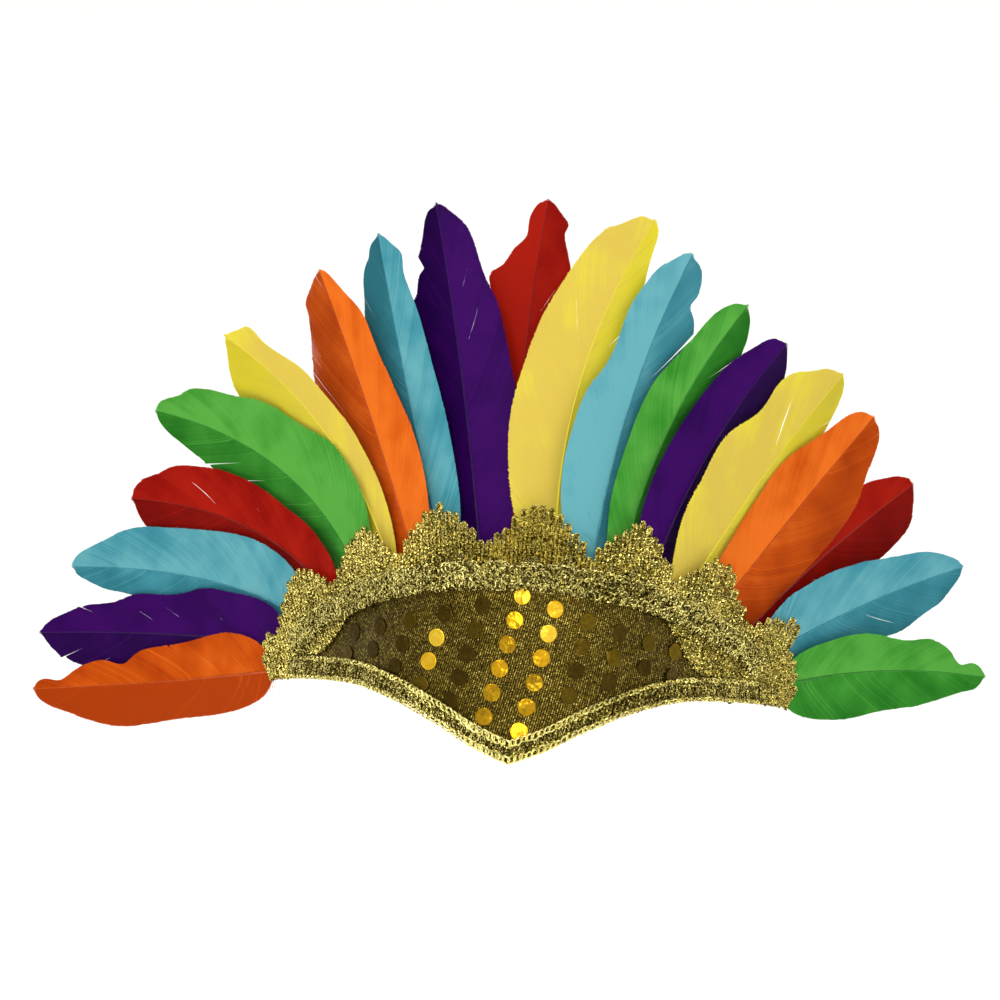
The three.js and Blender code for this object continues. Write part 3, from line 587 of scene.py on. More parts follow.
# Painted highlight on threads that stand proud and painted shade on those that lie deep.
BRAID_PAINTED_DEPTH_SHADE = 0.3
BRAID_PAINTED_SHADE_EVEN = 0.6
BRAID_THREAD_LEAN = 0.3
EDGE_LOOP_PITCH = 2.3 * MM
EDGE_LOOP_STEPS = 11
EDGE_LOOP_UNEVEN = 0.1
EDGE_LOOP_SIZES = (0.75, 1.15)
EDGE_LOOP_RADIUS = 0.85 * MM
EDGE_LOOP_GROWTH = 0.85
EDGE_LOOP_GROWN_REACH = 38 * MM
EDGE_LOOP_RISE = 0.9 * MM
EDGE_LOOP_SHINE = 0.24
EDGE_LOOP_GLASS = 0.26
FINE_STRAND_RADIUS = 0.26 * MM
GIMP_STRAND_RADIUS = 0.36 * MM
GIMP_TURN_STEPS = 8
COIL_SWAY = 0.35
LOWER_COIL_PITCHES = (2.0 * MM, 2.9 * MM, 3.7 * MM, 4.6 * MM)
LOWER_COIL_JITTER = 0.15 * MM
LOWER_COIL_SHINE = 0.12
LOWER_MIDDLE_SHARE = 0.8
LOWER_CURLS = 150
LOWER_CURL_SHINE = 0.15
CURL_STEPS = 10
CURL_RADII = (1.2, 2.8)  # mm
CURL_SWEEPS = (1.5, 4.5)  # radians


def coil(length, pitch, across, half_width, low, high, rng, jitter):
    """A coil of yarn along a braid: distance along it, across it and out of it."""
    turns = length / pitch
    steps = int(turns * GIMP_TURN_STEPS)
    spin = np.linspace(0, 2 * math.pi * turns, steps) + rng.uniform(0, 2 * math.pi)
    wander = rng.normal(0, jitter, (3, steps))
    along = np.linspace(-length / 2, length / 2, steps) + wander[0]
    along = along + COIL_SWAY * pitch * np.sin(2 * spin)
    over = across + half_width * np.arcsin(np.cos(spin)) * 2 / math.pi + wander[1]
    out = (low + high) / 2 + (high - low) / 2 * np.sin(spin) + wander[2]
    return along, over, np.clip(out, low, high)


def tinsel_curls(count, length, width, low, high, rng):
    """Short loose curls of tinsel scattered over a braid."""
    steps = np.linspace(0, 1, CURL_STEPS)
    middle = rng.uniform(-0.5, 0.5, (count, 2)) * [length, width]
    way = rng.uniform(0, math.pi, (count, 1))
    size = rng.uniform(*CURL_RADII, (count, 1)) * MM
    sweep = rng.uniform(*CURL_SWEEPS, (count, 1))
    turn = way + sweep * (steps - 0.5)
    along = middle[:, :1] + size * np.cos(turn)
    over = np.clip(middle[:, 1:] + size * np.sin(turn), -width / 2, width / 2)
    arch = np.sin(math.pi * steps) * rng.uniform(0.4, 1, (count, 1))
    out = low + (high - low) * (0.55 + 0.45 * arch)
    return along, over, out


def braid_threads(place, parts, high):
    """Threads of a braid on the panel, and each point's shine: its part's own, plus painted
    highlight where it stands proud and painted shade where it lies deep.
    """
    made, painted_shines = [], []
    for radius, shine, (along, over, out) in parts:
        points, side, _, front = place(*np.atleast_2d(along, over, out))
        made.append(threads(points, side + BRAID_THREAD_LEAN * front, radius))
        # Painted highlight where the thread stands proud, painted shade where it lies deep.
        lift = shine + BRAID_PAINTED_DEPTH_SHADE * (out / high - BRAID_PAINTED_SHADE_EVEN)
        painted_shines.append(np.repeat(np.ravel(lift), THREAD_SIDES))
    return *join_parts(made), np.concatenate(painted_shines)


def edge_loops(length, edge, low, rng):
    """A row of small round loops along one edge of the lower braid, larger round its point."""
    middle = np.arange(-length / 2 + EDGE_LOOP_PITCH, length / 2 - EDGE_LOOP_PITCH, EDGE_LOOP_PITCH)
    middle = (middle + rng.normal(0, EDGE_LOOP_UNEVEN, middle.shape) * EDGE_LOOP_PITCH)[:, None]
    grown = 1 + EDGE_LOOP_GROWTH * np.exp(-((middle / EDGE_LOOP_GROWN_REACH) ** 2))
    radius = EDGE_LOOP_RADIUS * grown * rng.uniform(*EDGE_LOOP_SIZES, middle.shape)
    turn = np.linspace(0, 2 * math.pi, EDGE_LOOP_STEPS) + rng.uniform(0, 6, middle.shape)
    inward = -np.sign(edge) * radius
    along = middle + radius * np.cos(turn)
    over = edge + inward + radius * np.sin(turn)
    out = low + EDGE_LOOP_RISE * (1 + 0.6 * np.sin(turn + rng.uniform(0, 6, middle.shape)))
    return along, over, out


def lower_braid():
    rng = np.random.default_rng(37)
    reach = lower_braid_reach(ARCH_RADIUS - LACE_LAP)
    low = SEQUIN_RAISE + GLUE_GAP + GIMP_STRAND_RADIUS
    high = SEQUIN_RAISE + GLUE_GAP + LOWER_BRAID_THICKNESS - GIMP_STRAND_RADIUS
    half = LOWER_BRAID_WIDTH / 2
    length = 2 * reach
    parts = []
    for edge in (-half, half):
        for _ in range(2):
            loops = edge_loops(length, edge, low, rng)
            glassy = EDGE_LOOP_GLASS * np.exp(-((loops[0] / EDGE_LOOP_GROWN_REACH) ** 2))
            parts.append((GIMP_STRAND_RADIUS, EDGE_LOOP_SHINE + glassy, loops))
    inner = LOWER_MIDDLE_SHARE * half
    for pitch in LOWER_COIL_PITCHES:
        middle_coil = coil(length, pitch, 0, inner, low, 0.7 * high, rng, LOWER_COIL_JITTER)
        parts.append((FINE_STRAND_RADIUS, LOWER_COIL_SHINE, middle_coil))
    curls = tinsel_curls(LOWER_CURLS, length, 2 * inner, low, 0.8 * high, rng)
    parts.append((FINE_STRAND_RADIUS, LOWER_CURL_SHINE, curls))

    def place(along, over, out):
        return on_panel(along, bottom_edge(along) + half + over, out)

    points, faces, painted_shines = braid_threads(place, parts, high)
    braid = mesh_piece("lower_gimp_braid", points, faces,
                       lurex_cord("crinkled_tinsel_gimp", "#241c02", "#746410", "#fff49c"))
    point_values(braid, "painted_thread_shine", painted_shines)
    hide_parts("lower_braid")
    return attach(braid, "root")


lower_braid()

# Upper braid
# A bulky gimp braid of the same crinkled tinsel: three fine coiled rows and three broad ones
# under loose curls. It is glued along the panel's top edge, over the foot of the lace.
UPPER_BRAID_THICKNESS = 3.6 * MM
UPPER_ROWS = (-0.6, 0, 0.6)
UPPER_ROW_HALF = 0.34
UPPER_ROW_PITCH = 2.0 * MM
UPPER_ROW_SHINE = 0.1
UPPER_WIDE_COILS = 3
UPPER_WIDE_HALF = 0.92
UPPER_WIDE_PITCH = 4.0 * MM
UPPER_WIDE_SHINE = 0.15
UPPER_JITTER = 0.25 * MM
UPPER_CURLS = 900
UPPER_CURL_RADIUS = 0.3 * MM
UPPER_CURL_PROUD = 0.4 * MM
UPPER_CURL_SHINE = 0.16


def upper_braid():
    rng = np.random.default_rng(41)
    middle = ARCH_RADIUS + UPPER_BRAID_ABOVE_EDGE - UPPER_BRAID_WIDTH / 2
    lower_edge = middle - UPPER_BRAID_WIDTH * (1 + BRAID_EDGE_WAVE) / 2
    length = 2 * math.asin(lower_braid_reach(lower_edge) / lower_edge) * middle
    low = LACE_THICKNESS + 2 * GLUE_GAP + GIMP_STRAND_RADIUS
    high = LACE_THICKNESS + 2 * GLUE_GAP + UPPER_BRAID_THICKNESS - GIMP_STRAND_RADIUS
    half = UPPER_BRAID_WIDTH / 2
    parts = []
    for row in UPPER_ROWS:
        row_coil = coil(length, UPPER_ROW_PITCH, row * half, UPPER_ROW_HALF * half, low,
                        0.8 * high, rng, UPPER_JITTER)
        parts.append((FINE_STRAND_RADIUS, UPPER_ROW_SHINE, row_coil))
    for _ in range(UPPER_WIDE_COILS):
        wide_coil = coil(length, UPPER_WIDE_PITCH, 0, UPPER_WIDE_HALF * half, low,
                         0.7 * high, rng, UPPER_JITTER)
        parts.append((FINE_STRAND_RADIUS, UPPER_WIDE_SHINE, wide_coil))
    top = high + UPPER_CURL_PROUD
    curls = tinsel_curls(UPPER_CURLS, length, UPPER_BRAID_WIDTH, low, top, rng)
    parts.append((UPPER_CURL_RADIUS, UPPER_CURL_SHINE, curls))

    def place(along, over, out):
        return on_arch(along / middle, middle + over, out)

    points, faces, painted_shines = braid_threads(place, parts, high)
    tinsel = bpy.data.materials["crinkled_tinsel_gimp"]
    braid = mesh_piece("upper_gimp_braid", points, faces, tinsel)
    point_values(braid, "painted_thread_shine", painted_shines)
    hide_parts("upper_braid")
    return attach(braid, "root")


upper_braid()

# Elastic
# A flat band of woven elastic, covered rubber under black yarn, that runs from the panel's ends
# round the back of the wearer's head. Each end is a short tab glued behind the panel.
STRAP_WIDTH = 10 * MM
STRAP_THICKNESS = 1.2 * MM
STRAP_TAB_START = 68 * MM
STRAP_TAB_END = 88 * MM
STRAP_TAB_UP = 3 * MM
STRAP_BEND_RUN = 2.5 * MM
STRAP_BEND_DEPTH = 1.2 * MM
STRAP_RUN_STEPS = 16
STRAP_BACK_STEPS = 72
STRAP_ROUNDING = 0.35


def strap_line():
    """Middle of the band and its upward direction, from the right tab round to the left one."""
    tab_out = -(PANEL_THICKNESS + GLUE_GAP + STRAP_THICKNESS / 2)
    side_x = HEAD_HALF_WIDTH + STRAP_THICKNESS / 2
    back_y = HEAD_HALF_DEPTH + STRAP_THICKNESS / 2
    tab = np.linspace(STRAP_TAB_START, STRAP_TAB_END, 6)
    points, side, rise, front = on_panel(tab, STRAP_TAB_UP, tab_out)
    bend = points[-1] + side[-1] * STRAP_BEND_RUN - front[-1] * STRAP_BEND_DEPTH
    share = (np.arange(STRAP_RUN_STEPS) + 1) / STRAP_RUN_STEPS
    ease = share * share * (3 - 2 * share)
    run = bend + (np.array([side_x, 0, 0]) - bend) * share[:, None]
    run[:, 2] = bend[2] * (1 - ease)
    upright = np.array([0.0, 0.0, 1.0])
    run_rise = rise[-1] + (upright - rise[-1]) * ease[:, None]
    turn = math.pi * np.arange(1, STRAP_BACK_STEPS) / STRAP_BACK_STEPS
    oval = np.stack([side_x * np.cos(turn), back_y * np.sin(turn), np.zeros_like(turn)], -1)
    half = np.concatenate([points, run])
    half_rise = np.concatenate([rise, run_rise])
    flip = np.array([-1, 1, 1])
    line = np.concatenate([half, oval, (half * flip)[::-1]])
    upward = np.concatenate([half_rise, np.tile(upright, (len(oval), 1)), (half_rise * flip)[::-1]])
    return line, unit(upward)


# Woven elastic: covered rubber between black polyester yarns, in fine ribs across the band that
# are this many mm apart.
ELASTIC_RIB_PITCH = 1.3


def woven_elastic():
    made, tree, surface = new_material("black_woven_elastic", roughness=0.85, sheen_weight=0.1)
    place = add_node(tree, "ShaderNodeAttribute", {"attribute_name": "strap_place"})
    ribs = add_node(tree, "ShaderNodeTexWave", {"bands_direction": "X"},
                    {"Vector": place.outputs["Vector"], "Scale": WAVE_PERIOD / ELASTIC_RIB_PITCH,
                     "Distortion": 0.6})
    cords = add_node(tree, "ShaderNodeTexWave", {"bands_direction": "Y"},
                     {"Vector": place.outputs["Vector"], "Scale": WAVE_PERIOD / ELASTIC_RIB_PITCH})
    height = blend(tree, cords.outputs["Fac"], 0.5, ribs.outputs["Fac"])
    colour_by(tree, surface, height, [(0.2, "#080707"), (1.0, "#211f1e")])
    raise_by(tree, surface, height, 0.7, 0.2 * MM)
    return made


def head_elastic():
    """The band: a flat section with round edges, carried along its line."""
    line, upward = strap_line()
    outward = np.cross(unit(np.gradient(line, axis=0)), upward)
    inner = 1 - 2 * STRAP_ROUNDING * STRAP_THICKNESS / STRAP_WIDTH
    up = np.array([-1, -inner, -0.5, 0, 0.5, inner, 1]) * STRAP_WIDTH / 2
    up = np.concatenate([up, up[::-1]])
    thick = np.array([0.4, 1, 1, 1, 1, 1, 0.4]) * STRAP_THICKNESS / 2
    thick = np.concatenate([thick, -thick])
    points = line[:, None] + upward[:, None] * up[:, None] + outward[:, None] * thick[:, None]
    faces = grid_faces(len(line), len(up), True)
    band = mesh_piece("elastic_band", points, faces, woven_elastic())
    band.data.shade_smooth()
    length = np.concatenate([[0], np.cumsum(np.linalg.norm(np.diff(line, axis=0), axis=-1))])
    place = np.stack([np.broadcast_to(length[:, None], points.shape[:2]),
                      np.broadcast_to(up, points.shape[:2]), np.zeros(points.shape[:2])], -1) / MM
    point_values(band, "strap_place", place.reshape(-1, 3))
    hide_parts("head_elastic")
    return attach(band, "root")


head_elastic()

# Feathers
# Nineteen dyed goose feathers, fanned and glued by their quills behind the panel. Each vane is
# made of barbs that lie like shingles from the shaft, zipped into locks with splits between.
FEATHER_LENGTH = 165 * MM
VANE_WIDTH = 22 * MM
VANE_ROOT_FULLNESS = 0.34
QUILL_DIAMETER = 2.4 * MM
SHAFT_TAPER = ([0, 0.12, 0.4, 1], [1, 0.62, 0.38, 0.14])
QUILL_PAST_SEAT = 12 * MM
SEAT_BELOW_EDGE = 12 * MM
BARE_PAST_EDGE = 3 * MM
ROOT_LENGTH = 34 * MM

# Rows from left to right. seat: degrees round the arch, lean: degrees from upright, length: share
# of FEATHER_LENGTH, bow: sideways bow as a share of its length, curl: degrees it bends forward,
# tuck: degrees its inner edge turns forward, back: degrees its root bends back, left and right:
# vane widths as shares of VANE_WIDTH, left_at and right_at: where they are widest, blunt: how
# square the tip is, set: extra depth as a share of the quill, pale: how much lighter the whole
# feather is coloured, from uneven dye, and on the first feather painted shade for the shadow it
# lies in.
FEATHER_COLUMNS = ("dye", "seat", "lean", "length", "bow", "curl", "tuck", "back", "left", "left_at",
                   "right", "right_at", "blunt", "set", "pale")
FEATHER_ROWS = [
    # The first feather's pale of -0.25 is painted shade: it lies in shadow at its base.
    ("orange", -41, -104.5, 1.13, 0.0, 33, 13, 0, 0.92, 0.7, 0.88, 0.35, 1.5, 0, -0.25),
    ("purple", -37.5, -97.5, 1.15, 0.02, 33, 11, 0, 1.0, 0.7, 1.03, 0.36, 1.5, 0, 0),
    ("turquoise", -33.8, -88.5, 1.1, 0.05, 33, 11, 0, 0.75, 0.6, 1.15, 0.42, 2, 0, -0.08),
    ("red", -29.5, -77, 0.99, 0.08, 33, 10, 0, 1.0, 0.72, 0.98, 0.6, 2.4, 0, -0.08),
    ("green", -24.8, -64, 1.04, 0.09, 35, 11, 0, 1.1, 0.66, 1.4, 0.36, 1.5, 0, 0),
    ("yellow", -18.5, -49.5, 1.01, 0.07, 25, 14, 5, 1.15, 0.72, 0.68, 0.5, 2.4, 0, 0),
    ("orange", -13.4, -31.5, 0.99, -0.01, 18, 19, 10, 1.3, 0.62, 1.05, 0.45, 1.5, 0, 0.03),
    ("turquoise", -8.8, -22, 1.02, -0.02, 11, 19, 11, 0.95, 0.68, 0.84, 0.45, 1.6, 0.15, -0.15),
    ("purple", -4.6, -14, 1.07, 0.01, 6, 10, 12, 0.85, 0.62, 1.08, 0.5, 1.6, 0, 0),
    ("red", 0.4, 0.5, 1.08, -0.03, 5, -3, 16, 0.82, 0.6, 0.86, 0.62, 1.5, 0, 0.15),
    ("yellow", 5.8, 14, 1.03, -0.08, 11, 10, 9, 1.2, 0.56, 0.52, 0.72, 1.9, 0, 0.05),
    ("turquoise", 10.2, 18.5, 0.97, -0.04, 14, 14, 8, 1.1, 0.5, 0.92, 0.7, 1.7, 0, 0.08),
    ("green", 14.2, 28.5, 0.91, -0.06, 16, 16, 7, 0.84, 0.52, 0.72, 0.74, 1.9, 0, -0.05),
    ("purple", 18.2, 37, 0.89, -0.04, 17, 18, 6, 1.08, 0.46, 0.74, 0.78, 2.4, 0.15, 0),
    ("yellow", 23.6, 47.5, 0.96, 0.0, 19, 12, 3, 1.46, 0.48, 0.76, 0.78, 1.6, 0, 0),
    ("orange", 28.8, 52, 0.93, 0.02, 20, 2, 3, 0.98, 0.6, 1.22, 0.68, 1.6, 0, 0),
    ("red", 34.2, 65.5, 1.02, -0.01, 10, -6, 7.5, 0.7, 0.74, 0.95, 0.74, 2, 0.15, 0),
    ("turquoise", 38.2, 76.5, 0.96, -0.02, 12, 9, 1, 1.0, 0.4, 0.92, 0.7, 1.6, 0, -0.05),
    ("green", 42.2, 93, 0.93, -0.04, 14, 10, 0, 0.8, 0.42, 0.97, 0.42, 1.6, 0, 0),
]

# Where a vane's outline leaves its plain curve. The columns are the feather's number from the
# left, its side (-1 is the left vane and 1 the right one), the place as a share of the length,
# the share of the width that is missing (below nothing where the outline bulges) and its spread.
OUTLINE_ROWS = [
    (1, 1, 0.92, 0.55, 0.04),
    (1, 1, 0.71, 0.35, 0.05),
    (1, -1, 0.12, 0.5, 0.05),
    (2, -1, 0.2, -0.3, 0.1),
    (2, -1, 0.75, -0.25, 0.1),
    (4, 1, 0.14, -0.35, 0.08),
    (5, -1, 0.12, -0.6, 0.06),
    (6, 1, 0.93, -0.4, 0.04),
    (6, -1, 0.8, -0.25, 0.1),
    (7, -1, 0.8, -0.2, 0.15),
    (7, -1, 0.96, -0.3, 0.03),
    (8, 1, 0.93, -0.4, 0.035),
    (8, -1, 0.95, 0.25, 0.03),
    (9, -1, 0.85, 0.25, 0.018),
    (9, -1, 0.77, -0.2, 0.03),
    (10, -1, 0.91, 0.35, 0.04),
    (10, -1, 0.79, -0.28, 0.04),
    (10, 1, 0.955, -0.4, 0.02),
    (11, -1, 0.94, -0.2, 0.04),
    (12, -1, 0.7, 0.25, 0.14),
    (12, 1, 0.88, 0.3, 0.035),
    (14, 1, 0.86, -0.45, 0.08),
    (14, 1, 0.15, -0.5, 0.1),
    (15, -1, 0.82, -0.18, 0.07),
    (19, -1, 0.9, 0.5, 0.04),
    (19, -1, 0.75, -0.15, 0.05),
    (19, 1, 0.92, 0.15, 0.04),
]

# Where a vane's barbs have come apart. The columns are the feather's number, its side, where the
# split starts on the shaft, its opening in mm and whether it runs out through the vane's edge.
SPLIT_ROWS = [
    (1, 1, 0.42, 1.2, True),
    (2, 1, 0.6, 1.3, False),
    (2, 1, 0.5, 1.1, False),
    (2, 1, 0.36, 1.3, False),
    (2, 1, 0.74, 1.2, True),
    (2, -1, 0.8, 1.3, True),
    (2, -1, 0.68, 1.0, True),
    (3, -1, 0.45, 1.1, False),
    (4, 1, 0.66, 1.8, False),
    (4, 1, 0.45, 1.2, False),
    (4, -1, 0.72, 1.3, True),
    (5, -1, 0.62, 1.6, True),
    (5, -1, 0.52, 1.8, True),
    (5, 1, 0.7, 1.1, False),
    (6, 1, 0.55, 1.0, False),
    (8, 1, 0.35, 1.2, False),
    (8, 1, 0.22, 1.1, False),
    (9, 1, 0.72, 1.1, False),
    (9, 1, 0.6, 1.3, False),
    (10, 1, 0.68, 1.0, False),
    (11, -1, 0.6, 1.0, False),
    (11, 1, 0.6, 1.2, True),
    (12, 1, 0.6, 2.4, True),
    (12, 1, 0.42, 1.4, True),
    (13, 1, 0.7, 1.3, True),
    (15, -1, 0.64, 2.6, False),
    (15, -1, 0.46, 1.4, False),
    (16, -1, 0.5, 1.2, False),
    (17, 1, 0.45, 1.4, False),
    (18, 1, 0.55, 1.0, False),
]

NEAR_NOTHING = 1e-12
BARBS_A_SIDE = 400
BARB_STEPS = 7
BARB_SCAN_REACH = 1.6 * VANE_WIDTH
BARB_SCAN_STEPS = 90
BARB_UNEVEN = 0.005
BARB_ROLL = math.radians(17)
BARB_OVERLAP = 1.45
BARB_SPARE = 0.06 * MM
BARB_NARROWEST = 0.1 * MM
BARB_WIDEST = 1.2 * MM
BARB_TIP_TAPER = 0.2
BARB_PAST_TIP = 1 * MM
BARB_LIFT = 0.1 * MM
BARB_ANGLES = ([0, 0.09, 0.4, 0.8, 0.97, 1], [84, 44, 31, 24, 13, 5])
LAST_BARB = 0.997
VANE_CAMBER = 0.5 * MM
VANE_FLUTE = 0.5 * MM
FLUTE_LENGTH = (28 * MM, 55 * MM)
EDGE_WAVE = 0.05
EDGE_WAVE_LENGTH = (30 * MM, 75 * MM)
LOCK_SPAN = (5 * MM, 18 * MM)
LOCK_SWEEP = 0.25 * MM
LOCK_UNEVEN = 0.006
SPLIT_REACH = 3 * MM
# Painted shade: the vane away from the middle is coloured deeper and the other lighter, for how the
# two halves tilt.
PAINTED_VANE_SIDE_SHADE = 0.15
LOCK_TONE = 0.05
BARB_TONE = 0.035
PALE_BARB_TONE = 0.3
PALE_BARB_SHARE = 0.02
EDGE_TONE = 0.12
DOWN_STRANDS = 40
DOWN_STEPS = 8
DOWN_RADIUS = 0.08 * MM
DOWN_SIDES = 3
DOWN_START = (-5, 20)  # mm past the vane's root
DOWN_REACH = (5, 11)  # mm
DOWN_WAVE = (0.2, 0.8)  # mm
DOWN_SLANT = (0.3, 1.1)
DOWN_LIFT = (-0.5, 0.2)  # mm
SHAFT_STEPS = 48
SHAFT_SIDES = 10


def arc_from(start, length, bend):
    """One arc seen from its side: how far it runs on and forward, and its turn at the end."""
    safe = np.where(np.abs(bend) < 1e-9, 1e-9, bend)
    turn = start + safe
    radius = length / safe
    return radius * (np.sin(turn) - np.sin(start)), radius * (np.cos(start) - np.cos(turn)), turn


def bare_length(f):
    """How far a straight feather runs from its seat until it has passed the panel's top arch."""
    turn = math.radians(f["lean"] - f["seat"])
    seat_radius = ARCH_RADIUS - SEAT_BELOW_EDGE
    along = seat_radius * math.cos(turn)
    return math.sqrt(along**2 + (ARCH_RADIUS + BARE_PAST_EDGE) ** 2 - seat_radius**2) - along


def panel_sag(f):
    """How far the bent panel falls back from the flat plane of the feather behind it."""
    turn, lean = math.radians(f["seat"]), math.radians(f["lean"])
    seat_radius = ARCH_RADIUS - SEAT_BELOW_EDGE
    seat, _, _, front = on_arch(turn, seat_radius, 0.0)
    reach = np.array([-QUILL_PAST_SEAT, bare_length(f)])
    along = seat_radius * math.sin(turn) + reach * math.sin(lean)
    up = ARCH_CENTRE_UP + seat_radius * math.cos(turn) + reach * math.cos(lean)
    return max((seat - on_panel(along, up, 0.0)[0]) @ front)


def shaft_frame(f, along):
    """Points of the shaft at distances from the seat, its vane's right side and its front."""
    depth = PANEL_THICKNESS + GLUE_GAP + QUILL_DIAMETER * (0.5 + f["set"]) + panel_sag(f)
    seat_radius = ARCH_RADIUS - SEAT_BELOW_EDGE
    seat, side, rise, front = on_arch(math.radians(f["seat"]), seat_radius, -depth)
    length = f["length"] * FEATHER_LENGTH
    lean = math.radians(f["lean"])
    flat = rise * math.cos(lean) + side * math.sin(lean)
    across = side * math.cos(lean) - rise * math.sin(lean)
    in_root = np.clip(along, 0, ROOT_LENGTH)
    root = arc_from(0.0, in_root, -math.radians(f["back"]) * in_root / ROOT_LENGTH)
    past = np.maximum(along - ROOT_LENGTH, 0)
    rest = arc_from(root[2], past, math.radians(f["curl"]) * past / FEATHER_LENGTH)
    reach = np.where(along < 0, along, root[0] + rest[0])
    forward = np.where(along < 0, 0, root[1] + rest[1])
    turn = np.where(along < 0, 0, rest[2])[..., None]
    share = along / length
    aside = 4 * f["bow"] * length * share * (1 - share)
    slope = np.arctan(4 * f["bow"] * (1 - 2 * share))[..., None]
    point = seat + flat * reach[..., None] + across * aside[..., None] + front * forward[..., None]
    ahead = flat * np.cos(turn) + front * np.sin(turn)
    facing = front * np.cos(turn) - flat * np.sin(turn)
    right = across * np.cos(slope) - ahead * np.sin(slope)
    tuck = math.radians(f["tuck"]) * -np.sign(f["seat"])
    vane = right * math.cos(tuck) + facing * math.sin(tuck)
    return point, vane, facing * math.cos(tuck) - right * math.sin(tuck)


def vane_width(f, side, along, root):
    """Width of one vane at distances from the seat: a quick rise and a round fall to the tip."""
    name = "left" if side < 0 else "right"
    share = along / (f["length"] * FEATHER_LENGTH)
    widest = f[name + "_at"]
    rise = np.clip((share - root) / (widest - root), 0, 1)
    fall = np.clip((share - widest) / (1 - widest), 0, 1)
    grown = np.sin(math.pi / 2 * rise) ** VANE_ROOT_FULLNESS
    width = f[name] * VANE_WIDTH * np.where(share < widest, grown, np.sqrt(1 - fall ** f["blunt"]))
    for feather_number, at_side, at, depth, spread in OUTLINE_ROWS:
        if (feather_number, at_side) == (f["number"], side):
            width = width * (1 - depth * np.exp(-(((share - at) / spread) ** 2)))
    return width


def split_push(f, side, base):
    """How far each barb is pushed along the shaft at its edge by the splits, and in its middle."""
    at_edge, in_middle = np.zeros_like(base), np.zeros_like(base)
    for feather_number, at_side, at, opening, to_edge in SPLIT_ROWS:
        if (feather_number, at_side) == (f["number"], side):
            off = base - at * f["length"] * FEATHER_LENGTH
            push = opening * MM * np.sign(off) * np.exp(-np.abs(off) / SPLIT_REACH)
            pushed = at_edge if to_edge else in_middle
            pushed += push
    return at_edge, in_middle


def lock_values(base, rng):
    """For each barb, how its lock lifts and sweeps, its shade and how far it reaches."""
    ends = [base[0]]
    while ends[-1] < base[-1]:
        ends.append(ends[-1] + rng.uniform(*LOCK_SPAN))
    lock = np.searchsorted(ends, base, side="right") - 1
    lift, sweep, shade, reach = rng.uniform(-1, 1, (4, len(ends)))
    return lift[lock], sweep[lock], shade[lock], reach[lock]


def slow_wave(places, lengths, rng):
    """A smooth random wave from -1 to 1 along a feather."""
    first, second = rng.uniform(*lengths, 2)
    turns = rng.uniform(0, 2 * math.pi, 2)
    wave = np.sin(2 * math.pi * places / first + turns[0])
    return 0.6 * wave + 0.4 * np.sin(2 * math.pi * places / second + turns[1])


def vane_barbs(f, side, rng):
    """One vane's barbs as flat ribbons, with a shade at each of their points."""
    length = f["length"] * FEATHER_LENGTH
    root = bare_length(f) / length
    base = np.linspace(root * length, LAST_BARB * length, BARBS_A_SIDE)
    share = (base - base[0]) / (base[-1] - base[0])
    angle = np.radians(np.interp(share, *BARB_ANGLES))
    scan = np.linspace(0, BARB_SCAN_REACH, BARB_SCAN_STEPS)
    ahead = base[:, None] + scan / np.tan(angle)[:, None]
    spare = vane_width(f, side, np.minimum(ahead, length), root) - scan
    first_out = np.maximum(np.argmax(spare < 0, axis=1), 1)
    barb = np.arange(len(base))
    within = np.maximum(spare[barb, first_out - 1], 0)
    width = scan[first_out - 1] + scan[1] * within / (within - spare[barb, first_out])
    lift, sweep, shade, reach = lock_values(base, rng)
    at_edge, in_middle = split_push(f, side, base)
    edge = EDGE_WAVE * slow_wave(base, EDGE_WAVE_LENGTH, rng)
    width = width * (1 + edge + LOCK_UNEVEN * reach + rng.normal(0, BARB_UNEVEN, len(base)))
    run = width / np.tan(angle)
    part = np.linspace(0, 1, BARB_STEPS)
    along = base[:, None] + run[:, None] * part**1.2
    along = along + (at_edge + LOCK_SWEEP * sweep)[:, None] * part**2
    along = along + in_middle[:, None] * np.sin(math.pi * part) ** 2
    over = width[:, None] * part**0.95
    along = np.minimum(along, length + BARB_PAST_TIP)
    point, vane, out = shaft_frame(f, along)
    flute = VANE_FLUTE * slow_wave(along, FLUTE_LENGTH, rng)
    rise = (BARB_LIFT * lift[:, None] + flute) * part**1.5 - VANE_CAMBER * (over / VANE_WIDTH) ** 2
    middle = point + vane * (side * over)[..., None] + out * rise[..., None]
    travel = unit(np.gradient(middle, axis=1), NEAR_NOTHING)
    beside = unit(side * np.cross(out, travel), NEAR_NOTHING)
    step = np.gradient(middle, axis=0)
    spacing = np.abs(np.sum(step * beside, axis=-1))
    ribbon = np.clip(spacing * BARB_OVERLAP + BARB_SPARE, BARB_NARROWEST, BARB_WIDEST)
    ribbon = ribbon * (1 - BARB_TIP_TAPER * part**8)
    tilt = beside * math.cos(BARB_ROLL) + out * math.sin(BARB_ROLL)
    edges = middle[:, :, None] + tilt[:, :, None] * (ribbon[..., None] * [-0.5, 0.5])[..., None]
    strip = grid_faces(BARB_STEPS, 2, False)
    starts = np.arange(len(base)) * BARB_STEPS * 2
    quads = (strip[None] + starts[:, None, None]).reshape(-1, 4)
    # Painted shade between the two vanes, added to the feather's own pale.
    tone = 0.5 + f["pale"] - PAINTED_VANE_SIDE_SHADE * side * np.sign(f["seat"])
    tone = tone + LOCK_TONE * shade + rng.normal(0, BARB_TONE, len(base))
    tone = tone + PALE_BARB_TONE * (rng.random(len(base)) < PALE_BARB_SHARE)
    tones = np.repeat((tone[:, None] - EDGE_TONE * part + EDGE_TONE / 2).ravel(), 2)
    return edges.reshape(-1, 3), quads, tones


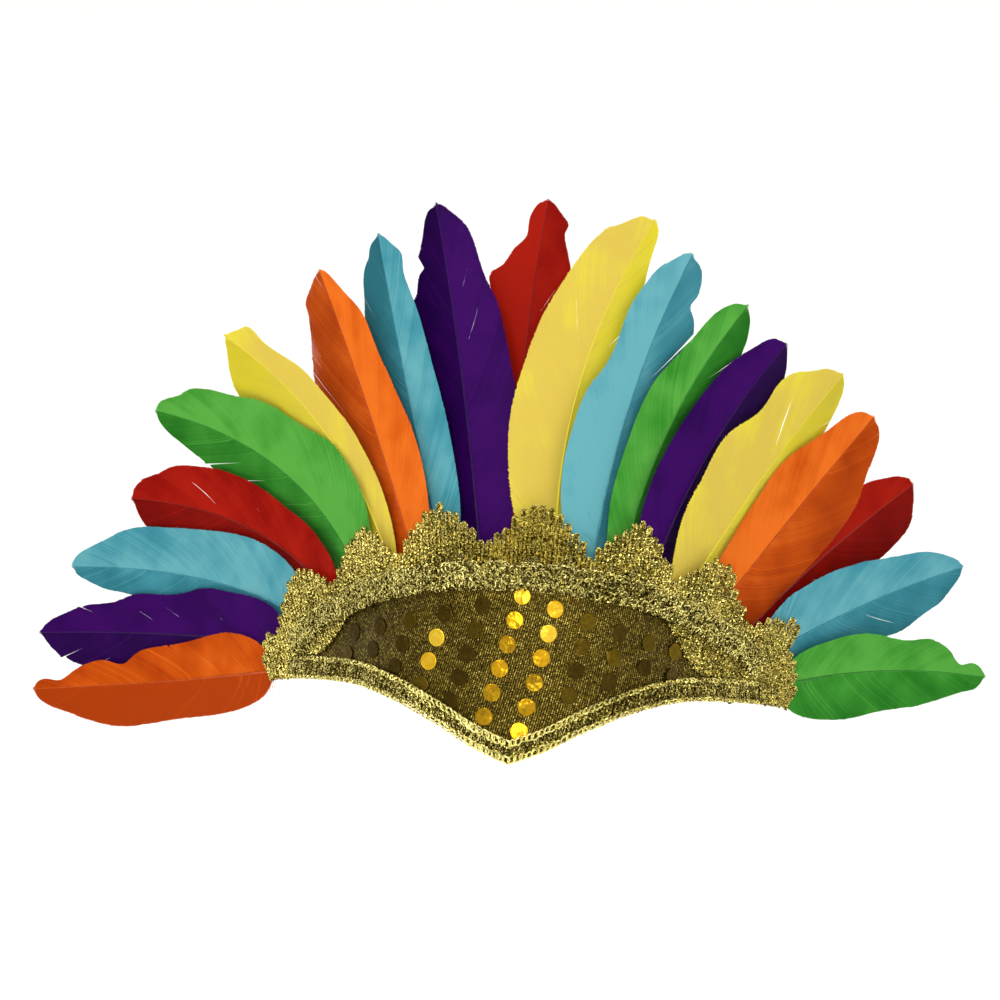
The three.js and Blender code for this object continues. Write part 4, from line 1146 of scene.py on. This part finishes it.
def down_strands(f, rng):
    """Loose downy strands on both sides of the shaft, where the vanes begin."""
    root = bare_length(f)
    column = (DOWN_STRANDS, 1)
    base = root + rng.uniform(*DOWN_START, DOWN_STRANDS) * MM
    side = rng.choice([-1, 1], DOWN_STRANDS)
    part = np.linspace(0, 1, DOWN_STEPS)
    reach = rng.uniform(*DOWN_REACH, DOWN_STRANDS) * MM
    wave = rng.uniform(*DOWN_WAVE, column) * MM
    turns = rng.uniform(1, 4, column)
    along = base[:, None] + reach[:, None] * part * rng.uniform(*DOWN_SLANT, column)
    along = along + wave * np.sin(turns * part)
    over = reach[:, None] * part + wave * np.cos(turns * part)
    point, vane, out = shaft_frame(f, along)
    lift = rng.uniform(*DOWN_LIFT, column) * MM * part
    middle = point + vane * (side[:, None] * over)[..., None] + out * lift[..., None]
    return threads(middle, out, DOWN_RADIUS, DOWN_SIDES)


# Dyed goose vane: keratin barbs, satin along their length. The dye takes unevenly, so locks and
# barbs differ a little in depth of colour.
# Each feather's vane on the side away from the middle also takes the deeper end of the dye's
# colours, and the other vane the lighter
# end: painted shade and light for how the two halves tilt to the lamps.
DYES = {
    "orange": ("#a63a04", "#c4500a", "#de6c1e"),
    "purple": ("#1c003c", "#28014a", "#37055c"),
    "turquoise": ("#2e7686", "#428ea0", "#62a6b2"),
    "red": ("#720703", "#880c04", "#a21a0c"),
    "green": ("#216e1c", "#35882a", "#54a140"),
    "yellow": ("#dccf30", "#dacc40", "#d0b84e"),
}
DYE_BLOTCH = 18 * MM


def dyed_vane(dye):
    name = dye + "_dyed_goose_vane"
    made, tree, surface = new_material(name, roughness=0.5, specular_ior_level=0.04)
    tone = add_node(tree, "ShaderNodeAttribute", {"attribute_name": "tone"})
    place = add_node(tree, "ShaderNodeTexCoord")
    blotches = noise(tree, place.outputs["Object"], DYE_BLOTCH, 2.0)
    deep, middle, light = DYES[dye]
    colour_by(tree, surface, blend(tree, blotches, 0.6, tone.outputs["Fac"]),
              [(0.5, deep), (0.75, middle), (1.0, light)])
    return made


# Dyed shaft: smooth horn that takes less dye than the barbs and shines a little.
HORN_MOTTLE = 3.333 * MM


def dyed_shaft(dye):
    made, tree, surface = new_material(dye + "_dyed_shaft", roughness=0.4, specular_ior_level=0.2)
    place = add_node(tree, "ShaderNodeTexCoord")
    mottle = noise(tree, place.outputs["Object"], HORN_MOTTLE, 3.0)
    deep, middle, _ = DYES[dye]
    colour_by(tree, surface, mottle, [(0.3, deep), (0.7, middle)])
    return made


def shaft_tube(f):
    """The shaft: a thin tapering tube from the quill's end to the feather's tip."""
    length = f["length"] * FEATHER_LENGTH
    along = np.linspace(-QUILL_PAST_SEAT, LAST_BARB * length, SHAFT_STEPS)
    point, vane, out = shaft_frame(f, along)
    radius = np.interp(along / length, *SHAFT_TAPER) * QUILL_DIAMETER / 2
    turn = 2 * math.pi * np.arange(SHAFT_SIDES) / SHAFT_SIDES
    ring = vane[:, None] * np.cos(turn)[:, None] + out[:, None] * np.sin(turn)[:, None]
    points = point[:, None] + ring * radius[:, None, None]
    return points.reshape(-1, 3), grid_faces(len(along), SHAFT_SIDES, True)


def feather(f, vane_material, shaft_material):
    number = f["number"]
    rng = np.random.default_rng(100 + number)
    left = vane_barbs(f, -1, rng)
    right = vane_barbs(f, 1, rng)
    down = down_strands(f, rng)
    shaft = shaft_tube(f)
    points, faces = join_parts([left[:2], right[:2], down, shaft])
    name = f"{f['dye']}_plume_{number:02d}"
    piece = mesh_piece(name, points, faces, vane_material, shaft_material)
    plain = np.full(len(down[0]) + len(shaft[0]), 0.5)
    tones = np.concatenate([left[2], right[2], plain])
    point_values(piece, "tone", tones)
    slots = np.zeros(len(faces), np.int32)
    slots[-len(shaft[1]):] = 1
    piece.data.polygons.foreach_set("material_index", slots)
    piece.data.shade_smooth()
    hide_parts(f"feather_{number:02d}")
    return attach(piece, "root")


vanes = {dye: dyed_vane(dye) for dye in DYES}
shafts = {dye: dyed_shaft(dye) for dye in DYES}
for number, row in enumerate(FEATHER_ROWS, 1):
    facts = dict(zip(FEATHER_COLUMNS, row), number=number)
    feather(facts, vanes[facts["dye"]], shafts[facts["dye"]])

# Studio
# A pale paper sweep under and all round the headdress, soft light from above, in front and both
# sides, and a camera where the photograph was taken from. Two strong lamps keep the paper white.
FLOOR_UP = -0.3
SWEEP_MIDDLE_Y = -1.2
SWEEP_REACH = 2.8
SWEEP_RADIUS = 0.7
SWEEP_TOP = 3.5
SWEEP_SIDES = 96
SWEEP_BEND_STEPS = 24


def studio_sweep():
    made, tree, surface = new_material("pale_paper", roughness=0.9)
    surface.inputs["Base Color"].default_value = linear("#f2f1ee")
    bend = np.linspace(0, math.pi / 2, SWEEP_BEND_STEPS)
    bend_out = SWEEP_REACH - SWEEP_RADIUS + SWEEP_RADIUS * np.sin(bend)
    bend_up = FLOOR_UP + SWEEP_RADIUS * (1 - np.cos(bend))
    out = np.concatenate([[0], bend_out, [SWEEP_REACH]])[:, None]
    up = np.concatenate([[FLOOR_UP], bend_up, [SWEEP_TOP]])[:, None]
    turn = 2 * math.pi * np.arange(SWEEP_SIDES) / SWEEP_SIDES
    x = out * np.cos(turn)
    y = SWEEP_MIDDLE_Y + out * np.sin(turn)
    points = np.stack(np.broadcast_arrays(x, y, up), -1)
    sweep = mesh_piece("studio_sweep", points, grid_faces(len(out), SWEEP_SIDES, True), made)
    sweep.data.shade_smooth()


def soft_light(name, place, size, power, colour, aim=(0, 0, 0.05)):
    """A round lamp of a size in metres and a power in watts, turned to where it aims."""
    lamp = bpy.data.lights.new(name, "AREA")
    lamp.shape = "DISK"
    lamp.size = size
    lamp.energy = power
    lamp.color = linear(colour)[:3]
    light = bpy.data.objects.new(name, lamp)
    bpy.context.scene.collection.objects.link(light)
    light.visible_camera = False
    light.location = place
    light.rotation_euler = (Vector(aim) - light.location).to_track_quat("-Z", "Y").to_euler()


def photo_camera():
    azimuth, elevation, roll = math.radians(5.2), math.radians(8.0), math.radians(2.1)
    distance = 1.2
    aim = Vector((-0.0165, 0, 0.074))
    sensor = 36.0
    focal_pixels = 2640
    picture_pixels = 1000
    flat = math.cos(elevation)
    back = Vector((math.sin(azimuth) * flat, -math.cos(azimuth) * flat, math.sin(elevation)))
    level = Vector((math.cos(azimuth), math.sin(azimuth), 0))
    upward = back.cross(level)
    right = level * math.cos(roll) + upward * math.sin(roll)
    top = upward * math.cos(roll) - level * math.sin(roll)
    camera = bpy.data.objects.new("camera", bpy.data.cameras.new("camera"))
    camera.data.sensor_width = sensor
    camera.data.lens = sensor * focal_pixels / picture_pixels
    bpy.context.scene.collection.objects.link(camera)
    turned = Matrix((right, top, back)).transposed().to_4x4()
    camera.matrix_world = Matrix.Translation(aim + back * distance) @ turned
    bpy.context.scene.camera = camera


studio_sweep()
soft_light("high_left", (-0.6, -1.1, 1.3), 0.45, 7.8, "#fff8ee")
soft_light("front_right", (1.1, -1.0, 0.5), 0.8, 2, "#f3f7ff")
soft_light("by_the_camera", (0.15, -1.5, 0.45), 0.4, 5.8, "#fffaf2")
soft_light("above", (0, 0.3, 1.6), 1.2, 5, "#ffffff")
soft_light("backdrop_wash", (0, 0.9, 2.4), 1.4, 40, "#ffffff")
soft_light("front_wash", (0, -2.2, 2.6), 1.2, 32, "#ffffff", (0, -4, 0.2))
photo_camera()
world = bpy.context.scene.world or bpy.data.worlds.new("studio_air")
bpy.context.scene.world = world
world.use_nodes = True
air = world.node_tree.nodes["Background"]
air.inputs["Color"].default_value = linear("#c9ccd2")
air.inputs["Strength"].default_value = 0.3
bpy.context.scene.view_settings.view_transform = "Standard"
